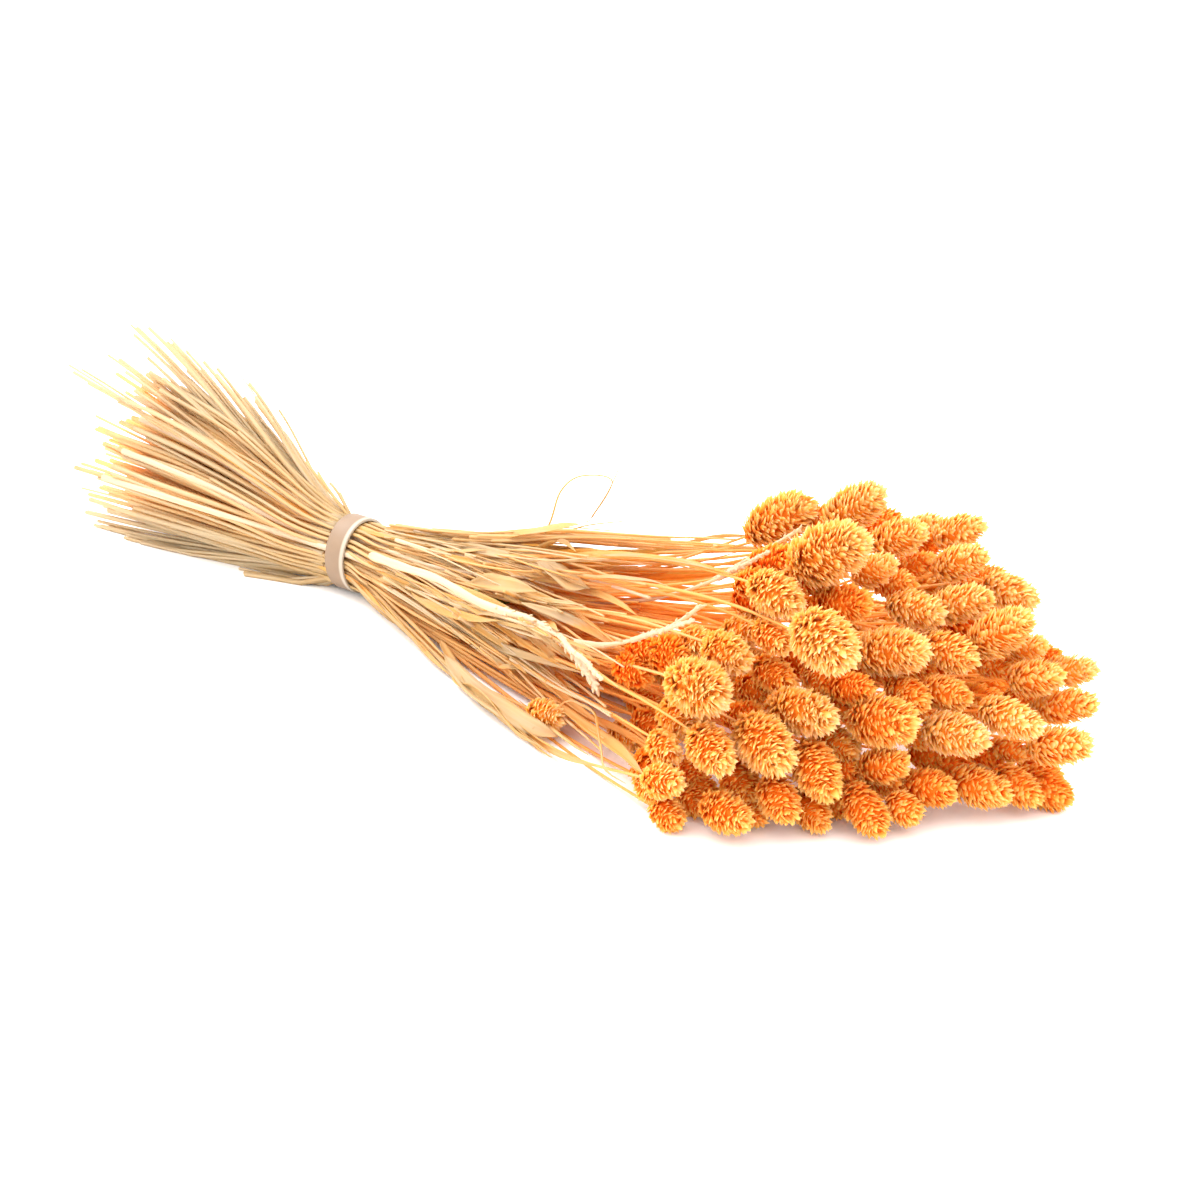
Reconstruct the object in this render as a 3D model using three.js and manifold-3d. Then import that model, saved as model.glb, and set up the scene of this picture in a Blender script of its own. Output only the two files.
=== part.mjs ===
import * as THREE from 'three';
import { mergeVertices } from 'three/addons/utils/BufferGeometryUtils.js';
import Module from 'manifold-3d';

// A bunch of dried phalaris grass, tied with one flat band and lying on its side.
// Millimetres, +Z up. The band stands round the x axis, the heads lie towards +X,
// and the cut ends towards -X. The floor is z = 0.

// Band
const BAND_INNER = 14.2;
const BAND_THICK = 1.3;
const BAND_WIDTH = 10.5;
const BAND_SIDES = 26;
const BAND_LEAN = -10;
const BAND_HEIGHT = BAND_INNER + BAND_THICK;

// Stems
const STEM_RADIUS = 0.95;
const NECK_RADIUS = 0.5;
const STEM_SIDES = 3;
const SLOT_GAP = 2.1;
const PARTNER_GAP = 1.15;
const SLOT_RADIUS = 12.9;
const CUT_END = -124;
const CUT_SPREAD = 2.75;
const CUT_HEIGHT = 37;
const CUT_TWIST = 0.3;
const CUT_BOW = 0.65;
const CUT_UNEVEN = 8;
const STRAY_REACH = 20;
const STRAY_SHARE = 0.4;
const STRAY_HEIGHT = 5;
const BAND_PASS = 8.5;
const STATIONS = [-128, -74, -BAND_PASS, BAND_PASS, 52, 98, 144, 188, 228, 264, 298];
const LAST_STATION_GAP = 9;
const STEM_SAG = 5;
const STEM_FAN = 0.9;
const NECK_SLOPE = 0.8;

// How far the outermost heads lie off the axis for their distance from the band:
// to the side, and above the rise of the middle of the bunch
const FAN_SIDE = 0.36;
const FAN_RISE = 0.17;
const MIDDLE_RISE = 0.1;
const SLOT_FILL = 0.8;
const SLOT_NOISE = 1.6;
const SLOT_ROUNDS = 300;
const EDGE_SHARE = 0.9;
const EDGE_PULL = 1.002;

// Pressing the stems apart: planes across the bunch, the air left between stems, the
// share of a push that one round makes, the smoothing along a stem, the play of a neck
// in its head and the length about the band where partners stay pressed together
const STEM_SETTLING = {
  rounds: 240, planeStep: 10, lastPlane: 345, clearance: 0.35, push: 1.2, smooth: 0.12,
  neckPlay: 0.3, fade: 0.999, pressed: 30,
};

// Heads
const HEAD_RATIO = 1.62;
const HEAD_RATIO_LEAST = 1.25;
const HEAD_RATIO_MOST = 2.1;
const HEAD_GAP = 0.5;
const NECK_SHARE = 0.9;
const HEAD_TIP = 0.97;
const LARGEST_TURN = 0.75;
const HEAD_SIDES = 8;
const SOLID_SCALE = 0.97;
const VALLEY = 0.8;
const SCALE_LEAN = 0.25;
const BROAD_HEAD = 8;
const FLOOR_PRESS = 0.35;
const FAR_HEADS = 17;
const INNER_HEADS = 7;
const LARGEST_NODE_COUNT = 58;
const LEAST_SHARED = 0.002;
const SEED = 4127;

// Pressing the heads apart: the share of a push that one round makes, the pull back to
// the line of sight and the pull back to where a head started
const HEAD_SETTLING = { rounds: 300, push: 1.3, toSight: 0.25, toStart: 0.004 };

// The point that the bunch is looked at from, and the scale of the picture in it
const VIEW = { azimuth: 42, elevation: 20, focal: 2400, distance: 980, centre: 600 };
const BAND_IN_VIEW = { across: 357, down: 553 };

// Heads as they lie in that view: across, down, width and angle of the tip from level,
// in picture points and degrees, then the height of the middle above the floor in
// millimetres. A sixth value is the length where it is clearly longer or shorter.
const SEEN_HEADS = [
  // Lowest row, on the floor
  [668, 814, 35, -45, 6.5], [727, 813, 42, -25, 7.5], [779, 800, 42, -59, 11],
  [811, 811, 38, -50, 7], [866, 811, 42, -54, 8], [905, 809, 36, -30, 7, 42],
  [930, 788, 42, -9, 12], [981, 788, 42, -18, 10], [1018, 787, 38, -35, 9],
  [1050, 794, 42, -35, 8, 46],
  // Set far back, among the stems
  [627, 736, 30, -30, 6], [547, 715, 33, -20, 7], [594, 655, 24, 0, 16], [636, 672, 26, -10, 14],
  // Left edge
  [665, 749, 34, -45, 22], [664, 782, 38, -10, 15], [649, 788, 30, -60, 9],
  [678, 719, 38, -40, 26], [700, 688, 60, -25, 42], [700, 642, 32, -20, 46],
  // Second and third rows
  [712, 750, 46, -50, 24], [702, 790, 34, -50, 8], [740, 783, 42, -60, 14],
  [817, 771, 49, -60, 22], [838, 745, 40, -30, 22], [884, 766, 40, 10, 20],
  [928, 757, 28, -10, 16], [1012, 750, 28, -15, 18], [1061, 746, 42, 4, 24, 68],
  [957, 735, 46, -13, 29], [1012, 719, 42, -21, 34, 68], [1067, 706, 38, 5, 32, 68],
  // Middle
  [884, 721, 56, -9, 34], [914, 738, 26, -20, 22], [803, 713, 50, -13, 37, 74],
  [765, 745, 57, -45, 28], [743, 715, 32, 15, 28], [774, 676, 38, -35, 42],
  [822, 682, 38, -50, 38], [727, 654, 44, -30, 50], [742, 632, 32, -10, 48],
  [773, 638, 34, -40, 54], [777, 596, 48, -40, 66], [826, 643, 62, -53, 62],
  [843, 604, 44, 5, 62], [893, 652, 52, 2, 50], [912, 668, 34, 0, 40],
  [870, 670, 36, -20, 40], [909, 695, 36, -30, 38], [947, 694, 38, -15, 38],
  [952, 653, 42, -24, 48], [998, 667, 30, -10, 36], [1037, 678, 40, 5, 40],
  [1071, 671, 36, 5, 36],
  // Top
  [1002, 632, 48, 30, 54], [1028, 648, 30, 10, 44], [917, 610, 40, -13, 56],
  [963, 603, 42, 12, 60], [1012, 593, 40, -24, 58], [914, 566, 30, 20, 62],
  [894, 583, 34, -10, 62], [875, 570, 36, 25, 66], [961, 562, 38, 19, 68],
  [960, 531, 36, 14, 72], [921, 528, 30, 20, 66], [984, 578, 30, 10, 54],
  [900, 538, 42, 16, 74], [830, 553, 64, 23, 78], [856, 507, 48, 32, 80],
  [782, 519, 52, 28, 70, 78],
];

// Spikes that have lost their scales, given as the heads are
const SEEN_SPIKES = [
  [578, 655, 8, -44, 44, 66],
  [660, 631, 8, 18, 54, 70],
  [742, 566, 8, 28, 66, 62],
];

// Papery leaves on the outside of the bundle: where each starts and ends along x, the
// angle round the bundle there (0 far side, 90 top, 180 near side), its width and lift
const LEAVES = [
  { from: 70, to: 124, at: 72, turn: -10, wide: 4.5, lift: 2 },
  { from: 72, to: 142, at: 86, turn: 30, wide: 5, lift: 1.4 },
  { from: 84, to: 134, at: 140, turn: 3, wide: 7.5, lift: 1.2 },
  { from: 120, to: 192, at: 56, turn: -6, wide: 3.6, lift: 2.4 },
  { from: 104, to: 178, at: 64, turn: 12, wide: 5.5, lift: 1.2 },
  { from: 98, to: 174, at: 196, turn: -2, wide: 5.5, lift: 0.8 },
  { from: 160, to: 226, at: 186, turn: 5, wide: 6, lift: 1 },
  { from: 52, to: 130, at: 170, turn: -8, wide: 4, lift: 1 },
  { from: 118, to: 196, at: 122, turn: 10, wide: 4.5, lift: 1.2 },
  { from: 56, to: 138, at: 34, turn: -18, wide: 6, lift: 1.4 },
  { from: 92, to: 186, at: 12, turn: 8, wide: 6, lift: 1.2 },
  { from: 48, to: 120, at: -4, turn: 6, wide: 5, lift: 1 },
];
const LEAF_THICK = 0.65;
const LEAF_STEPS = 7;
const LEAF_CURL = 3;
const LEAF_TIP = 0.14;
const BUNDLE_SIDE = 7;

// Stubs of a stripped spike
const STUB_STEPS = 12;
const STUB_RADIUS = 1.2;
const STUB_NECK = 0.55;
const STUB_SWAY = 0.7;

const STRAW = { color: 0xe6bd78, roughness: 0.8, metalness: 0 };
const RUBBER = { color: 0xc1986f, roughness: 0.7, metalness: 0 };

const X = new THREE.Vector3(1, 0, 0);
const Z = new THREE.Vector3(0, 0, 1);
const radians = THREE.MathUtils.degToRad;
const clamp = THREE.MathUtils.clamp;

// Seeded draws
function draws(seed) {
  let state = seed;
  return (low, high) => {
    state = (state * 16807) % 2147483647;
    return low + ((high - low) * state) / 2147483647;
  };
}

// The view's own axes and its eye, from the band's place in it
function makeView() {
  const a = radians(VIEW.azimuth);
  const e = radians(VIEW.elevation);
  const ahead = new THREE.Vector3(-Math.sin(a) * Math.cos(e), Math.cos(a) * Math.cos(e), -Math.sin(e));
  const right = new THREE.Vector3(Math.cos(a), Math.sin(a), 0);
  const up = new THREE.Vector3().crossVectors(right, ahead);
  const sight = (across, down) => ahead.clone()
    .addScaledVector(right, (across - VIEW.centre) / VIEW.focal)
    .addScaledVector(up, (VIEW.centre - down) / VIEW.focal);
  const eye = new THREE.Vector3(0, 0, BAND_HEIGHT)
    .addScaledVector(sight(BAND_IN_VIEW.across, BAND_IN_VIEW.down), -VIEW.distance);
  const project = (point) => {
    const d = point.clone().sub(eye);
    const depth = d.dot(ahead);
    return {
      across: VIEW.centre + (VIEW.focal * d.dot(right)) / depth,
      down: VIEW.centre - (VIEW.focal * d.dot(up)) / depth,
    };
  };
  return { eye, sight, project };
}

const view = makeView();

// The way a head points if nothing turns it: the stems fan out from the band
function restAxis(middle) {
  const bearing = 1.25 * Math.atan2(middle.y, middle.x - 10);
  const pitch = 1.9 * Math.atan2(middle.z - BAND_HEIGHT, middle.x) + radians(1);
  const flat = Math.cos(pitch);
  return new THREE.Vector3(Math.cos(bearing) * flat, Math.sin(bearing) * flat, Math.sin(pitch));
}

// Turn an axis about the line of sight until its tip lies at the angle seen
function turnedAxis(middle, sight, tipAngle) {
  const axis = restAxis(middle);
  const a = view.project(middle);
  const b = view.project(middle.clone().addScaledVector(axis, 5));
  const now = Math.atan2(a.down - b.down, b.across - a.across);
  const turn = clamp(now - radians(tipAngle), -LARGEST_TURN, LARGEST_TURN);
  return axis.applyAxisAngle(sight, turn);
}

function seenPlant(row, draw, stripped) {
  const [across, down, wide, tipAngle, height, long] = row;
  const ray = view.sight(across, down);
  const depth = (height - view.eye.z) / ray.z;
  const middle = view.eye.clone().addScaledVector(ray, depth);
  const radius = (0.5 * wide * depth) / VIEW.focal;
  const sight = ray.clone().normalize();
  const axis = turnedAxis(middle, sight, tipAngle);
  let half = radius * HEAD_RATIO * draw(0.92, 1.1);
  if (long) {
    const seenHalf = (0.5 * long * depth) / VIEW.focal;
    const facing = axis.dot(sight);
    half = Math.sqrt(Math.max(seenHalf ** 2 - (radius * facing) ** 2, 1) / (1 - facing ** 2));
  }
  if (!stripped) half = clamp(half, HEAD_RATIO_LEAST * radius, HEAD_RATIO_MOST * radius);
  return { middle, radius, half, axis, sight, stripped };
}

// Heads that the others hide: on the far side, and inside behind the first ones
function hiddenPlant(far, draw) {
  const bearing = far ? draw(5, 21) : draw(-13, 4);
  const reach = far ? 298 - 2.6 * (bearing - 5) - draw(0, 45) : draw(212, 240);
  const height = far ? draw(8, 62 - 2 * (bearing - 5)) : draw(10, 46);
  const angle = radians(bearing);
  const middle = new THREE.Vector3(reach * Math.cos(angle), reach * Math.sin(angle), height);
  const radius = far ? draw(6, 8.6) : draw(5.6, 8);
  const half = radius * HEAD_RATIO * draw(0.92, 1.1);
  return { middle, radius, half, axis: restAxis(middle), sight: null, stripped: false };
}

function makePlants() {
  const draw = draws(SEED);
  const plants = SEEN_HEADS.map((row) => seenPlant(row, draw, false));
  for (const row of SEEN_SPIKES) plants.push(seenPlant(row, draw, true));
  for (let i = 0; i < FAR_HEADS; i += 1) plants.push(hiddenPlant(true, draw));
  for (let i = 0; i < INNER_HEADS; i += 1) plants.push(hiddenPlant(false, draw));
  return plants;
}

// Each head stands for two balls on its axis
function balls(plant) {
  const offset = 0.75 * Math.max(plant.half - plant.radius, 0);
  const base = plant.middle.clone().addScaledVector(plant.axis, -offset);
  const tip = plant.middle.clone().addScaledVector(plant.axis, offset);
  return [
    { at: base, radius: 0.97 * plant.radius },
    { at: tip, radius: 0.93 * plant.radius },
  ];
}

// Press the heads apart, along their lines of sight rather than across them
function settleHeads(plants) {
  const { rounds, push, toSight, toStart } = HEAD_SETTLING;
  const starts = plants.map((plant) => plant.middle.clone());
  for (let round = 0; round < rounds; round += 1) {
    const sets = plants.map(balls);
    const moves = plants.map(() => ({ sum: new THREE.Vector3(), count: 0 }));
    for (let i = 0; i < plants.length; i += 1) {
      for (let j = i + 1; j < plants.length; j += 1) {
        for (const a of sets[i]) {
          for (const b of sets[j]) {
            const d = a.at.clone().sub(b.at);
            const distance = d.length() + 1e-9;
            const over = a.radius + b.radius + HEAD_GAP - distance;
            if (over > 0) {
              d.multiplyScalar((0.5 * over) / distance);
              moves[i].sum.add(d);
              moves[j].sum.sub(d);
              moves[i].count += 1;
              moves[j].count += 1;
            }
          }
        }
      }
    }
    plants.forEach((plant, i) => {
      const { sum, count } = moves[i];
      plant.middle.addScaledVector(sum, push / Math.max(count, 1));
      if (plant.sight) {
        const along = plant.middle.clone().sub(view.eye).dot(plant.sight);
        const onSight = view.eye.clone().addScaledVector(plant.sight, along);
        plant.middle.lerp(onSight, toSight);
      }
      plant.middle.lerp(starts[i], toStart);
      const lowest = Math.min(...sets[i].map((ball) => ball.at.z - ball.radius));
      plant.middle.z += 0.6 * Math.max(-lowest - FLOOR_PRESS, 0);
    });
  }
}

// A place in the band for each stem, in the order in which the heads fan out. Partners
// are pressed into one another there, so that each pair is one body. Stems close to the
// band lie against it.
function settleSlots(plants, pairCount) {
  const draw = draws(SEED + 2);
  const fill = SLOT_FILL * SLOT_RADIUS;
  const slots = plants.map(({ middle }) => {
    const side = middle.y / middle.x / FAN_SIDE;
    const rise = ((middle.z - BAND_HEIGHT) / middle.x - MIDDLE_RISE) / FAN_RISE;
    const noise = [draw(-SLOT_NOISE, SLOT_NOISE), draw(-SLOT_NOISE, SLOT_NOISE)];
    return new THREE.Vector2(side * fill + noise[0], rise * fill + noise[1]);
  });
  const partner = new Array(plants.length).fill(-1);
  const press = (paired) => {
    for (let round = 0; round < SLOT_ROUNDS; round += 1) {
      const moves = slots.map(() => new THREE.Vector2());
      for (let i = 0; i < slots.length; i += 1) {
        for (let j = i + 1; j < slots.length; j += 1) {
          const d = slots[i].clone().sub(slots[j]);
          const distance = d.length() + 1e-9;
          const joined = paired && partner[i] === j;
          const gap = joined ? PARTNER_GAP : SLOT_GAP;
          const over = gap - distance;
          if (over > 0 || joined) {
            d.multiplyScalar((0.25 * over) / distance);
            moves[i].add(d);
            moves[j].sub(d);
          }
        }
      }
      slots.forEach((slot, i) => {
        slot.add(moves[i]);
        if (slot.length() > EDGE_SHARE * SLOT_RADIUS) slot.multiplyScalar(EDGE_PULL);
        slot.clampLength(0, SLOT_RADIUS);
      });
    }
  };
  press(false);
  const near = [];
  for (let i = 0; i < slots.length; i += 1) {
    for (let j = i + 1; j < slots.length; j += 1) {
      near.push({ i, j, distance: slots[i].distanceTo(slots[j]) });
    }
  }
  near.sort((a, b) => a.distance - b.distance);
  let pairs = 0;
  for (const { i, j } of near) {
    if (pairs < pairCount && partner[i] < 0 && partner[j] < 0) {
      partner[i] = j;
      partner[j] = i;
      pairs += 1;
    }
  }
  press(true);
  return { slots, partner };
}

function hermite(s, from, fromSlope, to, toSlope) {
  const a = 2 * s ** 3 - 3 * s ** 2 + 1;
  const b = s ** 3 - 2 * s ** 2 + s;
  const c = 3 * s ** 2 - 2 * s ** 3;
  const d = s ** 3 - s ** 2;
  return a * from + b * fromSlope + c * to + d * toSlope;
}

// Points of one stem from its cut end, through the band, to the neck under its head
function stemPath(plant, slot, draw) {
  const neck = plant.middle.clone().addScaledVector(plant.axis, -NECK_SHARE * plant.half);
  const spread = CUT_SPREAD * draw(0.88, 1.06);
  const turn = CUT_TWIST * draw(0.3, 1.7);
  const cutY = spread * (slot.x * Math.cos(turn) - slot.y * Math.sin(turn));
  const cutZ = CUT_HEIGHT + spread * (slot.x * Math.sin(turn) + slot.y * Math.cos(turn));
  const bandZ = BAND_HEIGHT + slot.y;
  const steep = Math.max(plant.axis.x, 0.5);
  const path = [];
  for (const x of STATIONS) {
    if (x < -BAND_PASS) {
      const s = ((-BAND_PASS - x) / (-BAND_PASS - STATIONS[0])) ** CUT_BOW;
      const z = bandZ + (Math.max(cutZ, STEM_RADIUS) - bandZ) * s;
      path.push(new THREE.Vector3(x, slot.x + (cutY - slot.x) * s, z));
    } else if (x <= BAND_PASS) {
      path.push(new THREE.Vector3(x, slot.x, bandZ));
    } else if (x < neck.x - LAST_STATION_GAP) {
      const span = neck.x - BAND_PASS;
      const s = (x - BAND_PASS) / span;
      const slopeY = (NECK_SLOPE * span * plant.axis.y) / steep;
      const slopeZ = (NECK_SLOPE * span * plant.axis.z) / steep;
      const y = hermite(s, slot.x, STEM_FAN * (neck.y - slot.x), neck.y, slopeY);
      const z = hermite(s, bandZ, STEM_FAN * (neck.z - bandZ), neck.z, slopeZ);
      const sag = STEM_SAG * Math.sin(Math.PI * s);
      path.push(new THREE.Vector3(x, y, Math.max(z - sag, STEM_RADIUS)));
    }
  }
  path.push(neck);
  return path;
}

function stemRadius(x, neckX) {
  const s = clamp((x - BAND_PASS) / (neckX - BAND_PASS), 0, 1);
  return STEM_RADIUS + (NECK_RADIUS - STEM_RADIUS) * s;
}

// The disc that a head fills in the plane at x, or nothing
function headDisc(plant, x) {
  const { middle, axis, half, radius } = plant;
  const reach = Math.sqrt((half * axis.x) ** 2 + radius ** 2 * Math.max(1 - axis.x ** 2, 0));
  const dx = x - middle.x;
  if (Math.abs(dx) >= reach) return null;
  const slope = (dx * (half ** 2 - radius ** 2) * axis.x) / reach ** 2;
  return {
    y: middle.y + slope * axis.y,
    z: middle.z + slope * axis.z,
    radius: radius * Math.sqrt(1 - (dx / reach) ** 2),
  };
}

// Which stems and heads each plane across the bunch cuts
function makePlanes(plants, paths) {
  const planes = [];
  for (let x = STATIONS[0]; x < STEM_SETTLING.lastPlane; x += STEM_SETTLING.planeStep) {
    const cuts = [];
    const discs = [];
    paths.forEach((path, i) => {
      const last = path[path.length - 1].x;
      if (x <= last) {
        let k = 0;
        while (k < path.length - 2 && path[k + 1].x <= x) k += 1;
        const share = (x - path[k].x) / (path[k + 1].x - path[k].x);
        cuts.push({ i, k, share, radius: stemRadius(x, last) });
      }
      const disc = headDisc(plants[i], x);
      if (disc) discs.push({ i, ...disc });
    });
    planes.push({ x, cuts, discs });
  }
  return planes;
}

// Bend the stems clear of each other, of the heads and of the floor
function settleStems(plants, paths, partner) {
  const { rounds, clearance, push, smooth, neckPlay, fade, pressed } = STEM_SETTLING;
  const held = [-BAND_PASS, BAND_PASS].map((x) => STATIONS.indexOf(x));
  const starts = paths.map((path) => path.map((point) => point.clone()));
  const planes = makePlanes(plants, paths);
  for (let round = 0; round < rounds; round += 1) {
    const moves = paths.map((path) => path.map(() => ({ y: 0, z: 0, weight: 0 })));
    for (const { x, cuts, discs } of planes) {
      const shift = cuts.map(() => ({ y: 0, z: 0 }));
      for (const cut of cuts) {
        const a = paths[cut.i][cut.k];
        const b = paths[cut.i][cut.k + 1];
        cut.y = a.y + (b.y - a.y) * cut.share;
        cut.z = a.z + (b.z - a.z) * cut.share;
      }
      for (let m = 0; m < cuts.length; m += 1) {
        for (let n = m + 1; n < cuts.length; n += 1) {
          const p = cuts[m];
          const q = cuts[n];
          const near = partner[p.i] === q.i && Math.abs(x) < pressed;
          const dy = p.y - q.y;
          const dz = p.z - q.z;
          const distance = Math.sqrt(dy * dy + dz * dz) + 1e-9;
          const over = p.radius + q.radius + clearance - distance;
          if (over > 0 && !near) {
            const part = (0.5 * over) / distance;
            shift[m].y += dy * part;
            shift[m].z += dz * part;
            shift[n].y -= dy * part;
            shift[n].z -= dz * part;
          }
        }
        const p = cuts[m];
        for (const disc of discs) {
          const dy = p.y - disc.y;
          const dz = p.z - disc.z;
          const distance = Math.sqrt(dy * dy + dz * dz) + 1e-9;
          const over = p.radius + disc.radius + clearance - distance;
          if (over > 0 && disc.i !== p.i) {
            shift[m].y += (dy * over) / distance;
            shift[m].z += (dz * over) / distance;
          }
        }
        shift[m].z += Math.max(p.radius - p.z, 0);
      }
      cuts.forEach((cut, m) => {
        const { y, z } = shift[m];
        if (y === 0 && z === 0) return;
        const ends = [[cut.k, 1 - cut.share], [cut.k + 1, cut.share]];
        for (const [k, share] of ends) {
          const move = moves[cut.i][k];
          move.y += y * share;
          move.z += z * share;
          move.weight += share;
        }
      });
    }
    paths.forEach((path, i) => {
      const start = starts[i];
      const last = path.length - 1;
      path.forEach((point, k) => {
        if (held.includes(k)) return;
        const { y, z, weight } = moves[i][k];
        const part = push / Math.max(weight, 0.5);
        point.y += y * part;
        point.z += z * part;
      });
      const dy = path.map((point, k) => point.y - start[k].y);
      const dz = path.map((point, k) => point.z - start[k].z);
      path.forEach((point, k) => {
        if (held.includes(k)) return;
        let sy = dy[k];
        let sz = dz[k];
        if (k > 0 && k < last) {
          const f = (path[k].x - path[k - 1].x) / (path[k + 1].x - path[k - 1].x);
          sy += smooth * (dy[k - 1] * (1 - f) + dy[k + 1] * f - sy);
          sz += smooth * (dz[k - 1] * (1 - f) + dz[k + 1] * f - sz);
        }
        if (k === last) {
          const length = Math.sqrt(sy * sy + sz * sz) + 1e-9;
          const share = Math.min(1, (neckPlay * plants[i].radius) / length);
          sy *= share;
          sz *= share;
        }
        point.y = start[k].y + fade * sy;
        point.z = start[k].z + fade * sz;
      });
    });
  }
}

// Solids from points and faces
const wasm = await Module();
wasm.setup();

function solidOf(points, faces) {
  const geometry = new THREE.BufferGeometry();
  const flat = points.flatMap((p) => [p.x, p.y, Math.max(p.z, 0)]);
  geometry.setAttribute('position', new THREE.Float32BufferAttribute(flat, 3));
  geometry.setIndex(faces.flat());
  return solidOfGeometry(geometry);
}

function solidOfGeometry(source) {
  const geometry = source.clone();
  geometry.deleteAttribute('normal');
  geometry.deleteAttribute('uv');
  const merged = mergeVertices(geometry, 1e-4);
  return new wasm.Manifold(new wasm.Mesh({
    numProp: 3,
    vertProperties: new Float32Array(merged.attributes.position.array),
    triVerts: new Uint32Array(merged.index.array),
  }));
}

// Skin a row of rings, each with the same number of points, and close both ends
function loft(rings) {
  const count = rings[0].length;
  const points = rings.flat();
  const faces = [];
  for (let k = 0; k + 1 < rings.length; k += 1) {
    for (let i = 0; i < count; i += 1) {
      const j = (i + 1) % count;
      const a = k * count + i;
      const b = k * count + j;
      faces.push([a, b, b + count], [a, b + count, a + count]);
    }
  }
  const end = (rings.length - 1) * count;
  for (let i = 1; i + 1 < count; i += 1) {
    faces.push([0, i + 1, i], [end, end + i, end + i + 1]);
  }
  return solidOf(points, faces);
}

// The rings of a stem, from its cut end to its neck
function stemRings(path, cut, cutRadius) {
  const last = path[path.length - 1];
  return path.map((point, k) => {
    const at = point.clone();
    if (k === 0) {
      const slope = path[0].clone().sub(path[1]).divideScalar(path[0].x - path[1].x);
      at.addScaledVector(slope, cut - at.x);
      at.z = Math.max(at.z, STEM_RADIUS);
    }
    const radius = k === 0 ? cutRadius : stemRadius(at.x, last.x);
    return Array.from({ length: STEM_SIDES }, (unused, i) => {
      const a = (2 * Math.PI * (i + 0.25)) / STEM_SIDES;
      return new THREE.Vector3(at.x, at.y + radius * Math.cos(a), at.z + radius * Math.sin(a));
    });
  });
}

// Two directions square to an axis
function sideways(axis) {
  const side = new THREE.Vector3().crossVectors(Z, axis).normalize();
  return [side, new THREE.Vector3().crossVectors(axis, side)];
}

// The rings of a head. Every second point is the tip of a scale that stands out and
// leans towards the tip of the head, the others are the hollows between the scales.
function headRings(plant) {
  const { middle, axis, half } = plant;
  const radius = SOLID_SCALE * plant.radius;
  const [side, up] = sideways(axis);
  const count = plant.radius > BROAD_HEAD ? 7 : 6;
  const step = (2 * half) / (count + 1);
  const rings = [];
  for (let k = 1; k <= count; k += 1) {
    const polar = (Math.PI * k) / (count + 1);
    const out = radius * Math.sin(polar) ** 0.8 * (1 + 0.08 * Math.cos(polar));
    rings.push(Array.from({ length: HEAD_SIDES }, (unused, i) => {
      const scale = (i + k) % 2 === 0;
      const angle = (2 * Math.PI * i) / HEAD_SIDES;
      const along = -HEAD_TIP * half * Math.cos(polar) + (scale ? SCALE_LEAN : -0.4 * SCALE_LEAN) * step;
      const reach = scale ? out : VALLEY * out;
      return middle.clone().addScaledVector(axis, along)
        .addScaledVector(side, reach * Math.cos(angle)).addScaledVector(up, reach * Math.sin(angle));
    }));
  }
  return { rings, tip: middle.clone().addScaledVector(axis, HEAD_TIP * half) };
}

// Stem and head in one skin: the neck's few corners spread to the head's first ring
function headedStem(plant, path, cut, cutRadius) {
  const stem = stemRings(path, cut, cutRadius);
  const { rings, tip } = headRings(plant);
  const points = [...stem.flat(), ...rings.flat(), tip];
  const faces = [];
  const low = (k, i) => k * STEM_SIDES + (i % STEM_SIDES);
  const first = stem.length * STEM_SIDES;
  const high = (k, i) => first + k * HEAD_SIDES + (i % HEAD_SIDES);
  for (let i = 1; i + 1 < STEM_SIDES; i += 1) faces.push([0, i + 1, i]);
  for (let k = 0; k + 1 < stem.length; k += 1) {
    for (let i = 0; i < STEM_SIDES; i += 1) {
      faces.push([low(k, i), low(k, i + 1), low(k + 1, i + 1)]);
      faces.push([low(k, i), low(k + 1, i + 1), low(k + 1, i)]);
    }
  }
  const neck = stem.length - 1;
  const nearest = (j) => Math.round((j * STEM_SIDES) / HEAD_SIDES - 0.25 + STEM_SIDES) % STEM_SIDES;
  for (let j = 0; j < HEAD_SIDES; j += 1) {
    const from = nearest(j);
    const to = nearest(j + 1);
    faces.push([low(neck, from), high(0, j + 1), high(0, j)]);
    if (from !== to) faces.push([low(neck, from), low(neck, to), high(0, j + 1)]);
  }
  for (let k = 0; k + 1 < rings.length; k += 1) {
    for (let j = 0; j < HEAD_SIDES; j += 1) {
      const a = high(k, j);
      const b = high(k, j + 1);
      const c = high(k + 1, j + 1);
      const d = high(k + 1, j);
      if ((j + k) % 2 === 1) faces.push([a, b, d], [b, c, d]);
      else faces.push([a, b, c], [a, c, d]);
    }
  }
  const end = rings.length - 1;
  for (let j = 0; j < HEAD_SIDES; j += 1) {
    faces.push([high(end, j), high(end, j + 1), points.length - 1]);
  }
  return solidOf(points, faces);
}

// A stripped spike: its stem runs on as a thin axis with a short stub at each place
// where a scale sat
function strippedStem(plant, path, cut, cutRadius) {
  const { middle, axis, half } = plant;
  const [side, up] = sideways(axis);
  const rings = stemRings(path, cut, cutRadius);
  for (let k = 1; k <= STUB_STEPS; k += 1) {
    const s = k / STUB_STEPS;
    const radius = (k % 2 === 1 ? STUB_RADIUS : STUB_NECK) * (1 - 0.45 * s);
    const sway = [0, STUB_SWAY, 0, -STUB_SWAY][k % 4];
    const centre = middle.clone().addScaledVector(axis, half * (2 * s - 1)).addScaledVector(side, sway);
    rings.push(Array.from({ length: STEM_SIDES }, (unused, i) => {
      const a = (2 * Math.PI * (i + 0.25)) / STEM_SIDES;
      return centre.clone().addScaledVector(side, radius * Math.cos(a))
        .addScaledVector(up, radius * Math.sin(a));
    }));
  }
  return loft(rings);
}

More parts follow.
